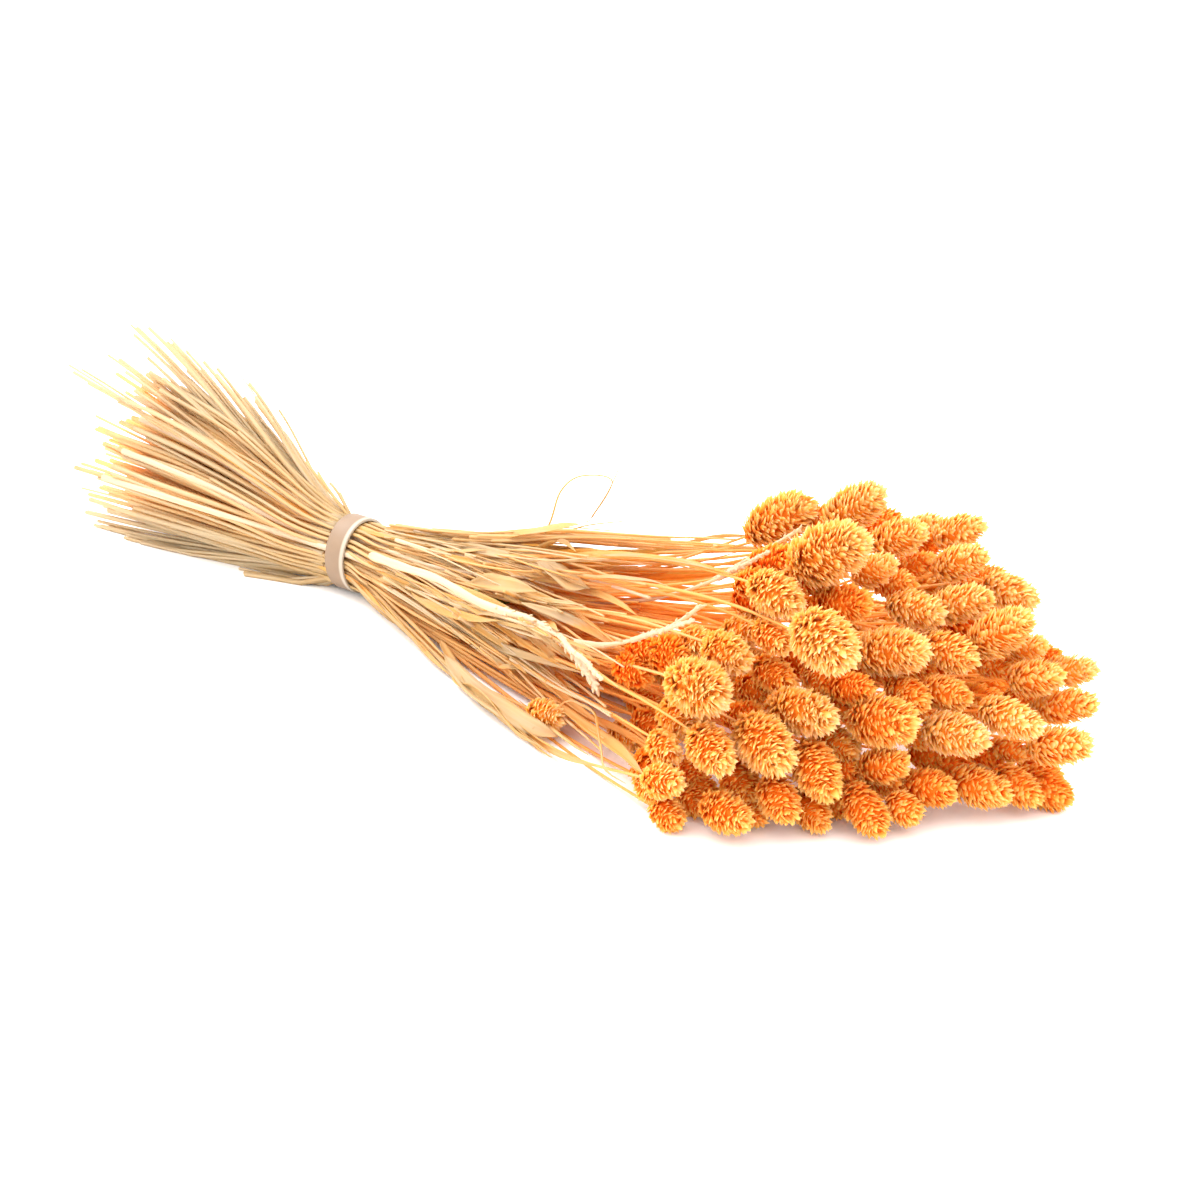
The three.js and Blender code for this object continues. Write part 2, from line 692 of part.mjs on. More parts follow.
function pointAt(path, x) {
  let k = 0;
  while (k < path.length - 2 && path[k + 1].x <= x) k += 1;
  const share = (x - path[k].x) / (path[k + 1].x - path[k].x);
  return path[k].clone().lerp(path[k + 1], share);
}

// Middle of the bundle at x, and how far it reaches at an angle round that middle
function bundleAt(paths, x) {
  const points = paths.filter((path) => path[path.length - 1].x > x).map((path) => pointAt(path, x));
  const middle = new THREE.Vector3(x, 0, 0);
  for (const point of points) {
    middle.y += point.y / points.length;
    middle.z += point.z / points.length;
  }
  const reach = (angle) => {
    let most = 0;
    for (const point of points) {
      const dy = point.y - middle.y;
      const dz = point.z - middle.z;
      const along = dy * Math.cos(angle) + dz * Math.sin(angle);
      const across = Math.abs(dz * Math.cos(angle) - dy * Math.sin(angle));
      if (across < BUNDLE_SIDE) most = Math.max(most, along);
    }
    return most;
  };
  return { middle, reach };
}

// A papery leaf: it starts inside the outermost stem at its angle and runs along the
// outside of the bundle, widest at a third of its length
function leafSolid(leaf, paths) {
  const startAngle = radians(leaf.at);
  const start = bundleAt(paths, leaf.from);
  let owner = -1;
  let most = -Infinity;
  paths.forEach((path, i) => {
    if (path[path.length - 1].x < leaf.to - 20) return;
    const point = pointAt(path, leaf.from);
    const dy = point.y - start.middle.y;
    const dz = point.z - start.middle.z;
    const across = Math.abs(dz * Math.cos(startAngle) - dy * Math.sin(startAngle));
    const along = dy * Math.cos(startAngle) + dz * Math.sin(startAngle) - 0.6 * across;
    if (along > most) {
      most = along;
      owner = i;
    }
  });
  const root = pointAt(paths[owner], leaf.from);
  const rows = Array.from({ length: LEAF_STEPS + 1 }, (unused, k) => {
    const s = k / LEAF_STEPS;
    const x = leaf.from + (leaf.to - leaf.from) * s;
    const angle = radians(leaf.at + leaf.turn * s * s);
    const { middle, reach } = bundleAt(paths, x);
    return { s, x, angle, middle, out: reach(angle) };
  });
  const rings = [];
  rows.forEach(({ s, x, angle, middle, out }, k) => {
    const before = rows[Math.max(k - 1, 0)].out;
    const after = rows[Math.min(k + 1, LEAF_STEPS)].out;
    const even = (before + out + after) / 3;
    const clear = even + STEM_RADIUS + LEAF_THICK + leaf.lift + LEAF_CURL * s * s;
    const normal = new THREE.Vector3(0, Math.cos(angle), Math.sin(angle));
    const centre = middle.clone().addScaledVector(normal, clear);
    centre.lerp(root.clone().setX(x), Math.max(0, 1 - s * (LEAF_STEPS - 1)));
    centre.z = Math.max(centre.z, LEAF_THICK);
    const wide = leaf.wide * Math.max(LEAF_TIP, Math.sin(Math.PI * s ** 0.75) ** 0.8);
    const across = new THREE.Vector3().crossVectors(X, normal).multiplyScalar(0.5 * wide);
    const thick = normal.clone().multiplyScalar(0.5 * LEAF_THICK);
    rings.push([
      centre.clone().add(across).add(thick),
      centre.clone().sub(across).add(thick),
      centre.clone().sub(across).sub(thick),
      centre.clone().add(across).sub(thick),
    ].reverse());
  });
  return { owner, solid: loft(rings) };
}

// Build the plants
const plants = makePlants();
settleHeads(plants);
const pairCount = plants.length + 1 - LARGEST_NODE_COUNT;
const { slots, partner } = settleSlots(plants, pairCount);
const stemDraw = draws(SEED + 1);
const paths = plants.map((plant, i) => stemPath(plant, slots[i], stemDraw));
settleStems(plants, paths, partner);

const solids = plants.map((plant, i) => {
  const stray = slots[i].y > STRAY_HEIGHT && stemDraw(0, 1) < STRAY_SHARE;
  const cut = CUT_END - stemDraw(-CUT_UNEVEN, CUT_UNEVEN) - (stray ? STRAY_REACH : 0);
  const cutRadius = stray ? NECK_RADIUS : STEM_RADIUS;
  const make = plant.stripped ? strippedStem : headedStem;
  return make(plant, paths[i], cut, cutRadius);
});
for (const leaf of LEAVES) {
  const { owner, solid } = leafSolid(leaf, paths);
  solids[owner] = solids[owner].add(solid);
}

// Plants that are pressed into one another are one body
const body = plants.map((unused, i) => i);
const root = (i) => (body[i] === i ? i : root(body[i]));
const boxes = solids.map((solid) => solid.boundingBox());
const apart = (a, b) => [0, 1, 2].some((k) => a.min[k] > b.max[k] || b.min[k] > a.max[k]);
for (let i = 0; i < solids.length; i += 1) {
  for (let j = i + 1; j < solids.length; j += 1) {
    if (!apart(boxes[i], boxes[j]) && root(i) !== root(j)) {
      const shared = solids[i].intersect(solids[j]).volume();
      if (shared > LEAST_SHARED) body[root(j)] = root(i);
    }
  }
}

function meshOf(solid, name, look) {
  const mesh = solid.getMesh();
  const geometry = new THREE.BufferGeometry();
  geometry.setAttribute('position', new THREE.Float32BufferAttribute(mesh.vertProperties, 3));
  geometry.setIndex([...mesh.triVerts]);
  geometry.computeVertexNormals();
  const made = new THREE.Mesh(geometry, new THREE.MeshStandardMaterial(look));
  made.name = name;
  return made;
}

// The flat band: a low ring, with one of its flats on the floor. It lies a little
// askew round the stems, so its far side is further towards the cut ends.
function bandMesh() {
  const outer = BAND_INNER + BAND_THICK;
  const edge = 0.5 * BAND_WIDTH;
  const profile = [
    [BAND_INNER, -edge], [outer, -edge], [outer, edge], [BAND_INNER, edge], [BAND_INNER, -edge],
  ];
  const corner = 1 / Math.cos(Math.PI / BAND_SIDES);
  const points = profile.map(([out, along]) => new THREE.Vector2(out * corner, along));
  const ring = new THREE.LatheGeometry(points, BAND_SIDES);
  ring.rotateY(Math.PI / BAND_SIDES);
  ring.rotateZ(-Math.PI / 2);
  const lean = new THREE.Matrix4().makeShear(0, 0, Math.tan(radians(BAND_LEAN)), 0, 0, 0);
  ring.applyMatrix4(lean);
  const mesh = new THREE.Mesh(ring, new THREE.MeshStandardMaterial(RUBBER));
  mesh.name = 'band';
  mesh.position.set(0, 0, BAND_HEIGHT);
  return mesh;
}

const bunch = new THREE.Group();
bunch.add(bandMesh());
const groups = new Map();
solids.forEach((solid, i) => {
  const key = root(i);
  groups.set(key, groups.has(key) ? groups.get(key).add(solid) : solid);
});
[...groups.values()].forEach((solid, n) => {
  bunch.add(meshOf(solid, `stems_${String(n + 1).padStart(2, '0')}`, STRAW));
});

// The origin is the middle of the bottom of the whole bunch
const whole = new THREE.Box3().setFromObject(bunch);
const centre = whole.getCenter(new THREE.Vector3());
bunch.position.set(-centre.x, -centre.y, -whole.min.z);

export default bunch;
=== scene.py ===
"""A bunch of dried phalaris grass, tied with one flat band and lying on its side.

Metres, +Z up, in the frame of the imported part. The plants are laid out by the rule that
the solids follow, in millimetres and about the band, and then built in full detail.
"""
import math

import bpy
import numpy as np
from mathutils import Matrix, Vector
from mathutils.kdtree import KDTree


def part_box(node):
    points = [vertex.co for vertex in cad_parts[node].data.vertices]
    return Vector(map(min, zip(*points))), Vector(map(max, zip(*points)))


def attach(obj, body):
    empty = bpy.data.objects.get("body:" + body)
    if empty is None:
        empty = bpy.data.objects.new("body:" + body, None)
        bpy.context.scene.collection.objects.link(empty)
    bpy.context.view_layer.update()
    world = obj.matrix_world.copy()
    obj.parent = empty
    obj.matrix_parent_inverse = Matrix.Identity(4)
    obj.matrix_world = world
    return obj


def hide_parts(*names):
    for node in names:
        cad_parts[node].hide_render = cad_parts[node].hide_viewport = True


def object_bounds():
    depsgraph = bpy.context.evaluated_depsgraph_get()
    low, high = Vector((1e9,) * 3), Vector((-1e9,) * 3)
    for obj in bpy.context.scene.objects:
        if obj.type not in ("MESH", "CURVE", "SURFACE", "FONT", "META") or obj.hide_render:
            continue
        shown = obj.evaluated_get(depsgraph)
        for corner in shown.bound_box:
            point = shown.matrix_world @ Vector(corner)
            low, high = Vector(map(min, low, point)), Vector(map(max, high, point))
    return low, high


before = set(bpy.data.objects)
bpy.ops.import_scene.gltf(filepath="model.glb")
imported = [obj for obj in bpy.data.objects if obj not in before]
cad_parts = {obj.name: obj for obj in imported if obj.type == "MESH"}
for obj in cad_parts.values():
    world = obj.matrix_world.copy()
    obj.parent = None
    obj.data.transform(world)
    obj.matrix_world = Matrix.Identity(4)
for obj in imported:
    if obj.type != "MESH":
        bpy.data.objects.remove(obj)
CAD_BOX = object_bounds()

MM = 0.001

# Band
BAND_INNER = 14.2
BAND_THICK = 1.3
BAND_WIDTH = 10.5
BAND_LEAN = -10
BAND_CORNER = 0.35
BAND_SIDES = 96
BAND_HEIGHT = BAND_INNER + BAND_THICK

# Stems
STEM_RADIUS = 0.95
NECK_RADIUS = 0.5
SLOT_GAP = 2.1
PARTNER_GAP = 1.15
SLOT_RADIUS = 12.9
CUT_END = -124
CUT_SPREAD = 2.75
CUT_HEIGHT = 37
CUT_TWIST = 0.3
CUT_BOW = 0.65
CUT_UNEVEN = 8
STRAY_REACH = 20
STRAY_SHARE = 0.4
STRAY_HEIGHT = 5
BAND_PASS = 8.5
STATIONS = [-128, -74, -BAND_PASS, BAND_PASS, 52, 98, 144, 188, 228, 264, 298]
LAST_STATION_GAP = 9
STEM_SAG = 5
STEM_FAN = 0.9
NECK_SLOPE = 0.8
FAN_SIDE = 0.36
FAN_RISE = 0.17
MIDDLE_RISE = 0.1
SLOT_FILL = 0.8
SLOT_NOISE = 1.6
SLOT_ROUNDS = 300
EDGE_SHARE = 0.9
EDGE_PULL = 1.002
STEM_SETTLING = dict(rounds=240, plane_step=10, last_plane=345, clearance=0.35, push=1.2,
                     smooth=0.12, neck_play=0.3, fade=0.999, pressed=30)

# Heads
HEAD_RATIO = 1.62
HEAD_RATIO_LEAST = 1.25
HEAD_RATIO_MOST = 2.1
HEAD_GAP = 0.5
NECK_SHARE = 0.9
HEAD_TIP = 0.97
LARGEST_TURN = 0.75
FLOOR_PRESS = 0.35
FAR_HEADS = 17
INNER_HEADS = 7
AXIS_TURN = 1.25
AXIS_TURN_START = 10
AXIS_PITCH = 1.9
AXIS_PITCH_LEAST = 1
RATIO_PLAY = (0.92, 1.1)
FAR_BEARINGS = (5, 21)
FAR_REACH = 298
FAR_RADII = (6, 8.6)
INNER_BEARINGS = (-13, 4)
INNER_REACHES = (212, 240)
INNER_HEIGHTS = (10, 46)
INNER_RADII = (5.6, 8)
LARGEST_NODE_COUNT = 58
SEED = 4127
HEAD_SETTLING = dict(rounds=300, push=1.3, to_sight=0.25, to_start=0.004, ends=0.75,
                     balls=(0.97, 0.93), lift=0.6)

# The point that the bunch is looked at from, and the scale of the picture in it
VIEW_AZIMUTH = 42
VIEW_ELEVATION = 20
VIEW_FOCAL = 2400
VIEW_DISTANCE = 980
VIEW_CENTRE = 600
BAND_IN_VIEW = (357, 553)

# Heads as they lie in that view: across, down, width and angle of the tip from level,
# in picture points and degrees, then the height of the middle above the floor in
# millimetres. A sixth value is the length where it is clearly longer or shorter.
SEEN_HEADS = [
    # Lowest row, on the floor
    (668, 814, 35, -45, 6.5), (727, 813, 42, -25, 7.5), (779, 800, 42, -59, 11),
    (811, 811, 38, -50, 7), (866, 811, 42, -54, 8), (905, 809, 36, -30, 7, 42),
    (930, 788, 42, -9, 12), (981, 788, 42, -18, 10), (1018, 787, 38, -35, 9),
    (1050, 794, 42, -35, 8, 46),
    # Set far back, among the stems
    (627, 736, 30, -30, 6), (547, 715, 33, -20, 7), (594, 655, 24, 0, 16), (636, 672, 26, -10, 14),
    # Left edge
    (665, 749, 34, -45, 22), (664, 782, 38, -10, 15), (649, 788, 30, -60, 9),
    (678, 719, 38, -40, 26), (700, 688, 60, -25, 42), (700, 642, 32, -20, 46),
    # Second and third rows
    (712, 750, 46, -50, 24), (702, 790, 34, -50, 8), (740, 783, 42, -60, 14),
    (817, 771, 49, -60, 22), (838, 745, 40, -30, 22), (884, 766, 40, 10, 20),
    (928, 757, 28, -10, 16), (1012, 750, 28, -15, 18), (1061, 746, 42, 4, 24, 68),
    (957, 735, 46, -13, 29), (1012, 719, 42, -21, 34, 68), (1067, 706, 38, 5, 32, 68),
    # Middle
    (884, 721, 56, -9, 34), (914, 738, 26, -20, 22), (803, 713, 50, -13, 37, 74),
    (765, 745, 57, -45, 28), (743, 715, 32, 15, 28), (774, 676, 38, -35, 42),
    (822, 682, 38, -50, 38), (727, 654, 44, -30, 50), (742, 632, 32, -10, 48),
    (773, 638, 34, -40, 54), (777, 596, 48, -40, 66), (826, 643, 62, -53, 62),
    (843, 604, 44, 5, 62), (893, 652, 52, 2, 50), (912, 668, 34, 0, 40),
    (870, 670, 36, -20, 40), (909, 695, 36, -30, 38), (947, 694, 38, -15, 38),
    (952, 653, 42, -24, 48), (998, 667, 30, -10, 36), (1037, 678, 40, 5, 40),
    (1071, 671, 36, 5, 36),
    # Top
    (1002, 632, 48, 30, 54), (1028, 648, 30, 10, 44), (917, 610, 40, -13, 56),
    (963, 603, 42, 12, 60), (1012, 593, 40, -24, 58), (914, 566, 30, 20, 62),
    (894, 583, 34, -10, 62), (875, 570, 36, 25, 66), (961, 562, 38, 19, 68),
    (960, 531, 36, 14, 72), (921, 528, 30, 20, 66), (984, 578, 30, 10, 54),
    (900, 538, 42, 16, 74), (830, 553, 64, 23, 78), (856, 507, 48, 32, 80),
    (782, 519, 52, 28, 70, 78),
]

# Spikes that have lost their scales, given as the heads are
SEEN_SPIKES = [
    (578, 655, 8, -44, 44, 66),
    (660, 631, 8, 18, 54, 70),
    (742, 566, 8, 28, 66, 62),
]

# Papery leaves on the outside of the bundle: where each starts and ends along x, the
# angle round the bundle there (0 far side, 90 top, 180 near side), the turn of that
# angle towards the tip, the width and the lift
LEAVES = [
    (70, 124, 72, -10, 4.5, 2),
    (72, 142, 86, 30, 5, 1.4),
    (84, 134, 140, 3, 7.5, 1.2),
    (120, 192, 56, -6, 3.6, 2.4),
    (104, 178, 64, 12, 5.5, 1.2),
    (98, 174, 196, -2, 5.5, 0.8),
    (160, 226, 186, 5, 6, 1),
    (52, 130, 170, -8, 4, 1),
    (118, 196, 122, 10, 4.5, 1.2),
    (56, 138, 34, -18, 6, 1.4),
    (92, 186, 12, 8, 6, 1.2),
    (48, 120, -4, 6, 5, 1),
]
LEAF_THICK = 0.65
ARCHED = (7, 9)
LEAF_CURL = 3
LEAF_TIP = 0.14
BUNDLE_SIDE = 7
LEAF_STEPS = 7


def seeded(seed):
    """Seeded draws, between a low and a high value."""
    state = [seed]

    def draw(low, high):
        state[0] = state[0] * 16807 % 2147483647
        return low + (high - low) * state[0] / 2147483647

    return draw


def unit(v):
    return v / np.linalg.norm(v)


def unit_rows(v):
    return v / np.linalg.norm(v, axis=1)[:, None]


def vec(*values):
    return np.array(values, float)


def around(angle):
    """The flat direction at an angle."""
    return vec(math.cos(angle), math.sin(angle))


def pushed(d, reach, skip, part, joined=False):
    """How far each is pushed off the others that are nearer than reach, and by how many."""
    distance = np.sqrt((d ** 2).sum(2)) + 1e-9
    over = reach - distance
    over = np.where(skip, 0, np.where(joined, over, np.maximum(over, 0)))
    return (d * (part * over / distance)[:, :, None]).sum(1), (over > 0).sum(1)


# The view

def view_axes():
    """The way looked, and what is right and up in the picture."""
    a = math.radians(VIEW_AZIMUTH)
    e = math.radians(VIEW_ELEVATION)
    ahead = vec(-math.sin(a) * math.cos(e), math.cos(a) * math.cos(e), -math.sin(e))
    right = vec(math.cos(a), math.sin(a), 0)
    return ahead, right, np.cross(right, ahead)


AHEAD, RIGHT, UP = view_axes()


def sight_line(across, down):
    """The way from the eye to a place in the picture, one long in depth."""
    return (AHEAD + RIGHT * (across - VIEW_CENTRE) / VIEW_FOCAL
            + UP * (VIEW_CENTRE - down) / VIEW_FOCAL)


EYE = vec(0, 0, BAND_HEIGHT) - VIEW_DISTANCE * sight_line(*BAND_IN_VIEW)


def project(points):
    """Across and down in the picture, for one point or one in each row."""
    d = points - EYE
    depth = d @ AHEAD
    return VIEW_CENTRE + VIEW_FOCAL * (d @ RIGHT) / depth, VIEW_CENTRE - VIEW_FOCAL * (d @ UP) / depth


# Heads

def rest_axis(middle):
    """The way a head points if nothing turns it: the stems fan out from the band."""
    bearing = AXIS_TURN * math.atan2(middle[1], middle[0] - AXIS_TURN_START)
    pitch = AXIS_PITCH * math.atan2(middle[2] - BAND_HEIGHT, middle[0]) + math.radians(AXIS_PITCH_LEAST)
    flat = math.cos(pitch)
    return vec(math.cos(bearing) * flat, math.sin(bearing) * flat, math.sin(pitch))


def turned(v, about, angle):
    """A vector turned about an axis."""
    c = math.cos(angle)
    s = math.sin(angle)
    return v * c + np.cross(about, v) * s + about * (about @ v) * (1 - c)


def turned_axis(middle, sight, tip_angle):
    """Turn an axis about the line of sight until its tip lies at the angle seen."""
    axis = rest_axis(middle)
    a = project(middle)
    b = project(middle + 5 * axis)
    now = math.atan2(a[1] - b[1], b[0] - a[0])
    turn = min(max(now - math.radians(tip_angle), -LARGEST_TURN), LARGEST_TURN)
    return turned(axis, sight, turn)


def seen_plant(row, draw, stripped):
    """A head or a stripped spike from its row of places and sizes in view."""
    across, down, wide, tip_angle, height = row[:5]
    ray = sight_line(across, down)
    depth = (height - EYE[2]) / ray[2]
    middle = EYE + depth * ray
    radius = 0.5 * wide * depth / VIEW_FOCAL
    sight = unit(ray)
    axis = turned_axis(middle, sight, tip_angle)
    half = radius * HEAD_RATIO * draw(*RATIO_PLAY)
    if len(row) > 5:
        seen_half = 0.5 * row[5] * depth / VIEW_FOCAL
        facing = axis @ sight
        half = math.sqrt(max(seen_half ** 2 - (radius * facing) ** 2, 1) / (1 - facing ** 2))
    if not stripped:
        half = min(max(half, HEAD_RATIO_LEAST * radius), HEAD_RATIO_MOST * radius)
    return dict(middle=middle, radius=radius, half=half, axis=axis, sight=sight, stripped=stripped)


def hidden_plant(far, draw):
    """A head that the others hide: on the far side, or inside behind the first ones."""
    bearing = draw(*(FAR_BEARINGS if far else INNER_BEARINGS))
    if far:
        aside = bearing - FAR_BEARINGS[0]
        reach = FAR_REACH - 2.6 * aside - draw(0, 45)
        height = draw(8, 62 - 2 * aside)
    else:
        reach, height = draw(*INNER_REACHES), draw(*INNER_HEIGHTS)
    middle = vec(*(reach * around(math.radians(bearing))), height)
    radius = draw(*(FAR_RADII if far else INNER_RADII))
    half = radius * HEAD_RATIO * draw(*RATIO_PLAY)
    return dict(middle=middle, radius=radius, half=half, axis=rest_axis(middle), sight=None,
                stripped=False)


def make_plants():
    draw = seeded(SEED)
    plants = [seen_plant(row, draw, False) for row in SEEN_HEADS]
    plants += [seen_plant(row, draw, True) for row in SEEN_SPIKES]
    plants += [hidden_plant(True, draw) for i in range(FAR_HEADS)]
    plants += [hidden_plant(False, draw) for i in range(INNER_HEADS)]
    return plants


def settle_heads(plants):
    """Press the heads apart, along their lines of sight rather than across them."""
    rule = HEAD_SETTLING
    middle = np.array([p["middle"] for p in plants])
    start = middle.copy()
    axis = np.array([p["axis"] for p in plants])
    radius = np.array([p["radius"] for p in plants])
    offset = rule["ends"] * np.maximum([p["half"] - p["radius"] for p in plants], 0)
    seen = np.array([p["sight"] is not None for p in plants])
    sight = np.array([vec(0, 0, 0) if p["sight"] is None else p["sight"] for p in plants])
    ball = np.stack([share * radius for share in rule["balls"]], 1)
    same = np.eye(len(plants), dtype=bool)
    for turn in range(rule["rounds"]):
        ends = np.stack([middle - offset[:, None] * axis, middle + offset[:, None] * axis], 1)
        push = np.zeros_like(middle)
        count = np.zeros(len(plants))
        for a in range(2):
            for b in range(2):
                d = ends[:, None, a] - ends[None, :, b]
                moved, touched = pushed(d, ball[:, None, a] + ball[None, :, b] + HEAD_GAP, same, 0.5)
                push += moved
                count += touched
        middle = middle + push * (rule["push"] / np.maximum(count, 1))[:, None]
        along = ((middle - EYE) * sight).sum(1)
        on_sight = EYE + along[:, None] * sight
        middle = np.where(seen[:, None], middle + (on_sight - middle) * rule["to_sight"], middle)
        middle = middle + (start - middle) * rule["to_start"]
        lowest = (ends[:, :, 2] - ball).min(1)
        middle[:, 2] += rule["lift"] * np.maximum(-lowest - FLOOR_PRESS, 0)
    for plant, place in zip(plants, middle):
        plant["middle"] = place


# Places in the band

def settle_slots(plants):
    """A place in the band for each stem. Partners are pressed into one another there."""
    draw = seeded(SEED + 2)
    fill = SLOT_FILL * SLOT_RADIUS
    slots = []
    for plant in plants:
        x, y, z = plant["middle"]
        side = y / x / FAN_SIDE
        rise = ((z - BAND_HEIGHT) / x - MIDDLE_RISE) / FAN_RISE
        slots.append((side * fill + draw(-SLOT_NOISE, SLOT_NOISE),
                      rise * fill + draw(-SLOT_NOISE, SLOT_NOISE)))
    slots = np.array(slots)
    count = len(plants)
    partner = np.full(count, -1)
    same = np.eye(count, dtype=bool)

    def press(slots, joined):
        gap = np.where(joined, PARTNER_GAP, SLOT_GAP)
        for turn in range(SLOT_ROUNDS):
            slots = slots + pushed(slots[:, None] - slots[None], gap, same, 0.25, joined)[0]
            length = np.hypot(*slots.T)
            slots = slots * np.where(length > EDGE_SHARE * SLOT_RADIUS, EDGE_PULL, 1)[:, None]
            length = np.hypot(*slots.T)
            slots = slots * np.minimum(1, SLOT_RADIUS / np.maximum(length, 1e-9))[:, None]
        return slots

    slots = press(slots, np.zeros((count, count), bool))
    first, second = np.triu_indices(count, 1)
    distance = np.hypot(*(slots[first] - slots[second]).T)
    pairs_left = count + 1 - LARGEST_NODE_COUNT
    for k in np.argsort(distance, kind="stable"):
        i, j = first[k], second[k]
        if pairs_left > 0 and partner[i] < 0 and partner[j] < 0:
            partner[i], partner[j] = j, i
            pairs_left -= 1
    return press(slots, partner[:, None] == np.arange(count)), partner


# Stems

def hermite(s, start, start_slope, end, end_slope):
    """The value at a share of the way between two ends with given slopes."""
    a = 2 * s ** 3 - 3 * s ** 2 + 1
    b = s ** 3 - 2 * s ** 2 + s
    c = 3 * s ** 2 - 2 * s ** 3
    d = s ** 3 - s ** 2
    return a * start + b * start_slope + c * end + d * end_slope


def stem_path(plant, slot, draw):
    """Points of one stem from its cut end, through the band, to the neck under its head."""
    axis = plant["axis"]
    neck = plant["middle"] - NECK_SHARE * plant["half"] * axis
    spread = CUT_SPREAD * draw(0.88, 1.06)
    turn = CUT_TWIST * draw(0.3, 1.7)
    cut_y = spread * (slot[0] * math.cos(turn) - slot[1] * math.sin(turn))
    cut_z = CUT_HEIGHT + spread * (slot[0] * math.sin(turn) + slot[1] * math.cos(turn))
    band_z = BAND_HEIGHT + slot[1]
    steep = max(axis[0], 0.5)
    path = []
    for x in STATIONS:
        if x < -BAND_PASS:
            s = ((-BAND_PASS - x) / (-BAND_PASS - STATIONS[0])) ** CUT_BOW
            z = band_z + (max(cut_z, STEM_RADIUS) - band_z) * s
            path.append((x, slot[0] + (cut_y - slot[0]) * s, z))
        elif x <= BAND_PASS:
            path.append((x, slot[0], band_z))
        elif x < neck[0] - LAST_STATION_GAP:
            span = neck[0] - BAND_PASS
            s = (x - BAND_PASS) / span
            slope_y = NECK_SLOPE * span * axis[1] / steep
            slope_z = NECK_SLOPE * span * axis[2] / steep
            y = hermite(s, slot[0], STEM_FAN * (neck[1] - slot[0]), neck[1], slope_y)
            z = hermite(s, band_z, STEM_FAN * (neck[2] - band_z), neck[2], slope_z)
            path.append((x, y, max(z - STEM_SAG * math.sin(math.pi * s), STEM_RADIUS)))
    path.append(tuple(neck))
    return np.array(path)


def stretch_at(path, x):
    """Which stretch of a path x is on, and how far along it."""
    k = int(np.searchsorted(path[:, 0], x, side="right")) - 1
    k = min(max(k, 0), len(path) - 2)
    return k, (x - path[k][0]) / (path[k + 1][0] - path[k][0])


def stem_radius(x, neck_x):
    """The thickness of a stem, which narrows from the band to its neck."""
    s = min(max((x - BAND_PASS) / (neck_x - BAND_PASS), 0), 1)
    return STEM_RADIUS + (NECK_RADIUS - STEM_RADIUS) * s


def head_disc(plant, x):
    """The disc that a head fills in the plane at x, or nothing."""
    axis, half, radius = plant["axis"], plant["half"], plant["radius"]
    reach = math.sqrt((half * axis[0]) ** 2 + radius ** 2 * max(1 - axis[0] ** 2, 0))
    dx = x - plant["middle"][0]
    if abs(dx) >= reach:
        return None
    slope = dx * (half ** 2 - radius ** 2) * axis[0] / reach ** 2
    return (plant["middle"][1] + slope * axis[1], plant["middle"][2] + slope * axis[2],
            radius * math.sqrt(1 - (dx / reach) ** 2))


def make_planes(plants, paths, partner):
    """What each plane across the bunch cuts: stems, the discs of heads, and which of them
    may touch."""
    rule = STEM_SETTLING
    planes = []
    for x in range(STATIONS[0], rule["last_plane"], rule["plane_step"]):
        cuts = [(i, *stretch_at(path, x), stem_radius(x, path[-1][0]))
                for i, path in enumerate(paths) if x <= path[-1][0]]
        if not cuts:
            continue
        owner, low, share, radius = (np.array(column) for column in zip(*cuts))
        discs = [(i, head_disc(plant, x)) for i, plant in enumerate(plants)]
        discs = np.array([(i, *disc) for i, disc in discs if disc]).reshape(-1, 4)
        pressed = (partner[owner][:, None] == owner[None]) & (abs(x) < rule["pressed"])
        skip = pressed | np.eye(len(owner), dtype=bool)
        planes.append((owner, low, share, radius, discs, skip, owner[:, None] == discs[None, :, 0]))
    return planes


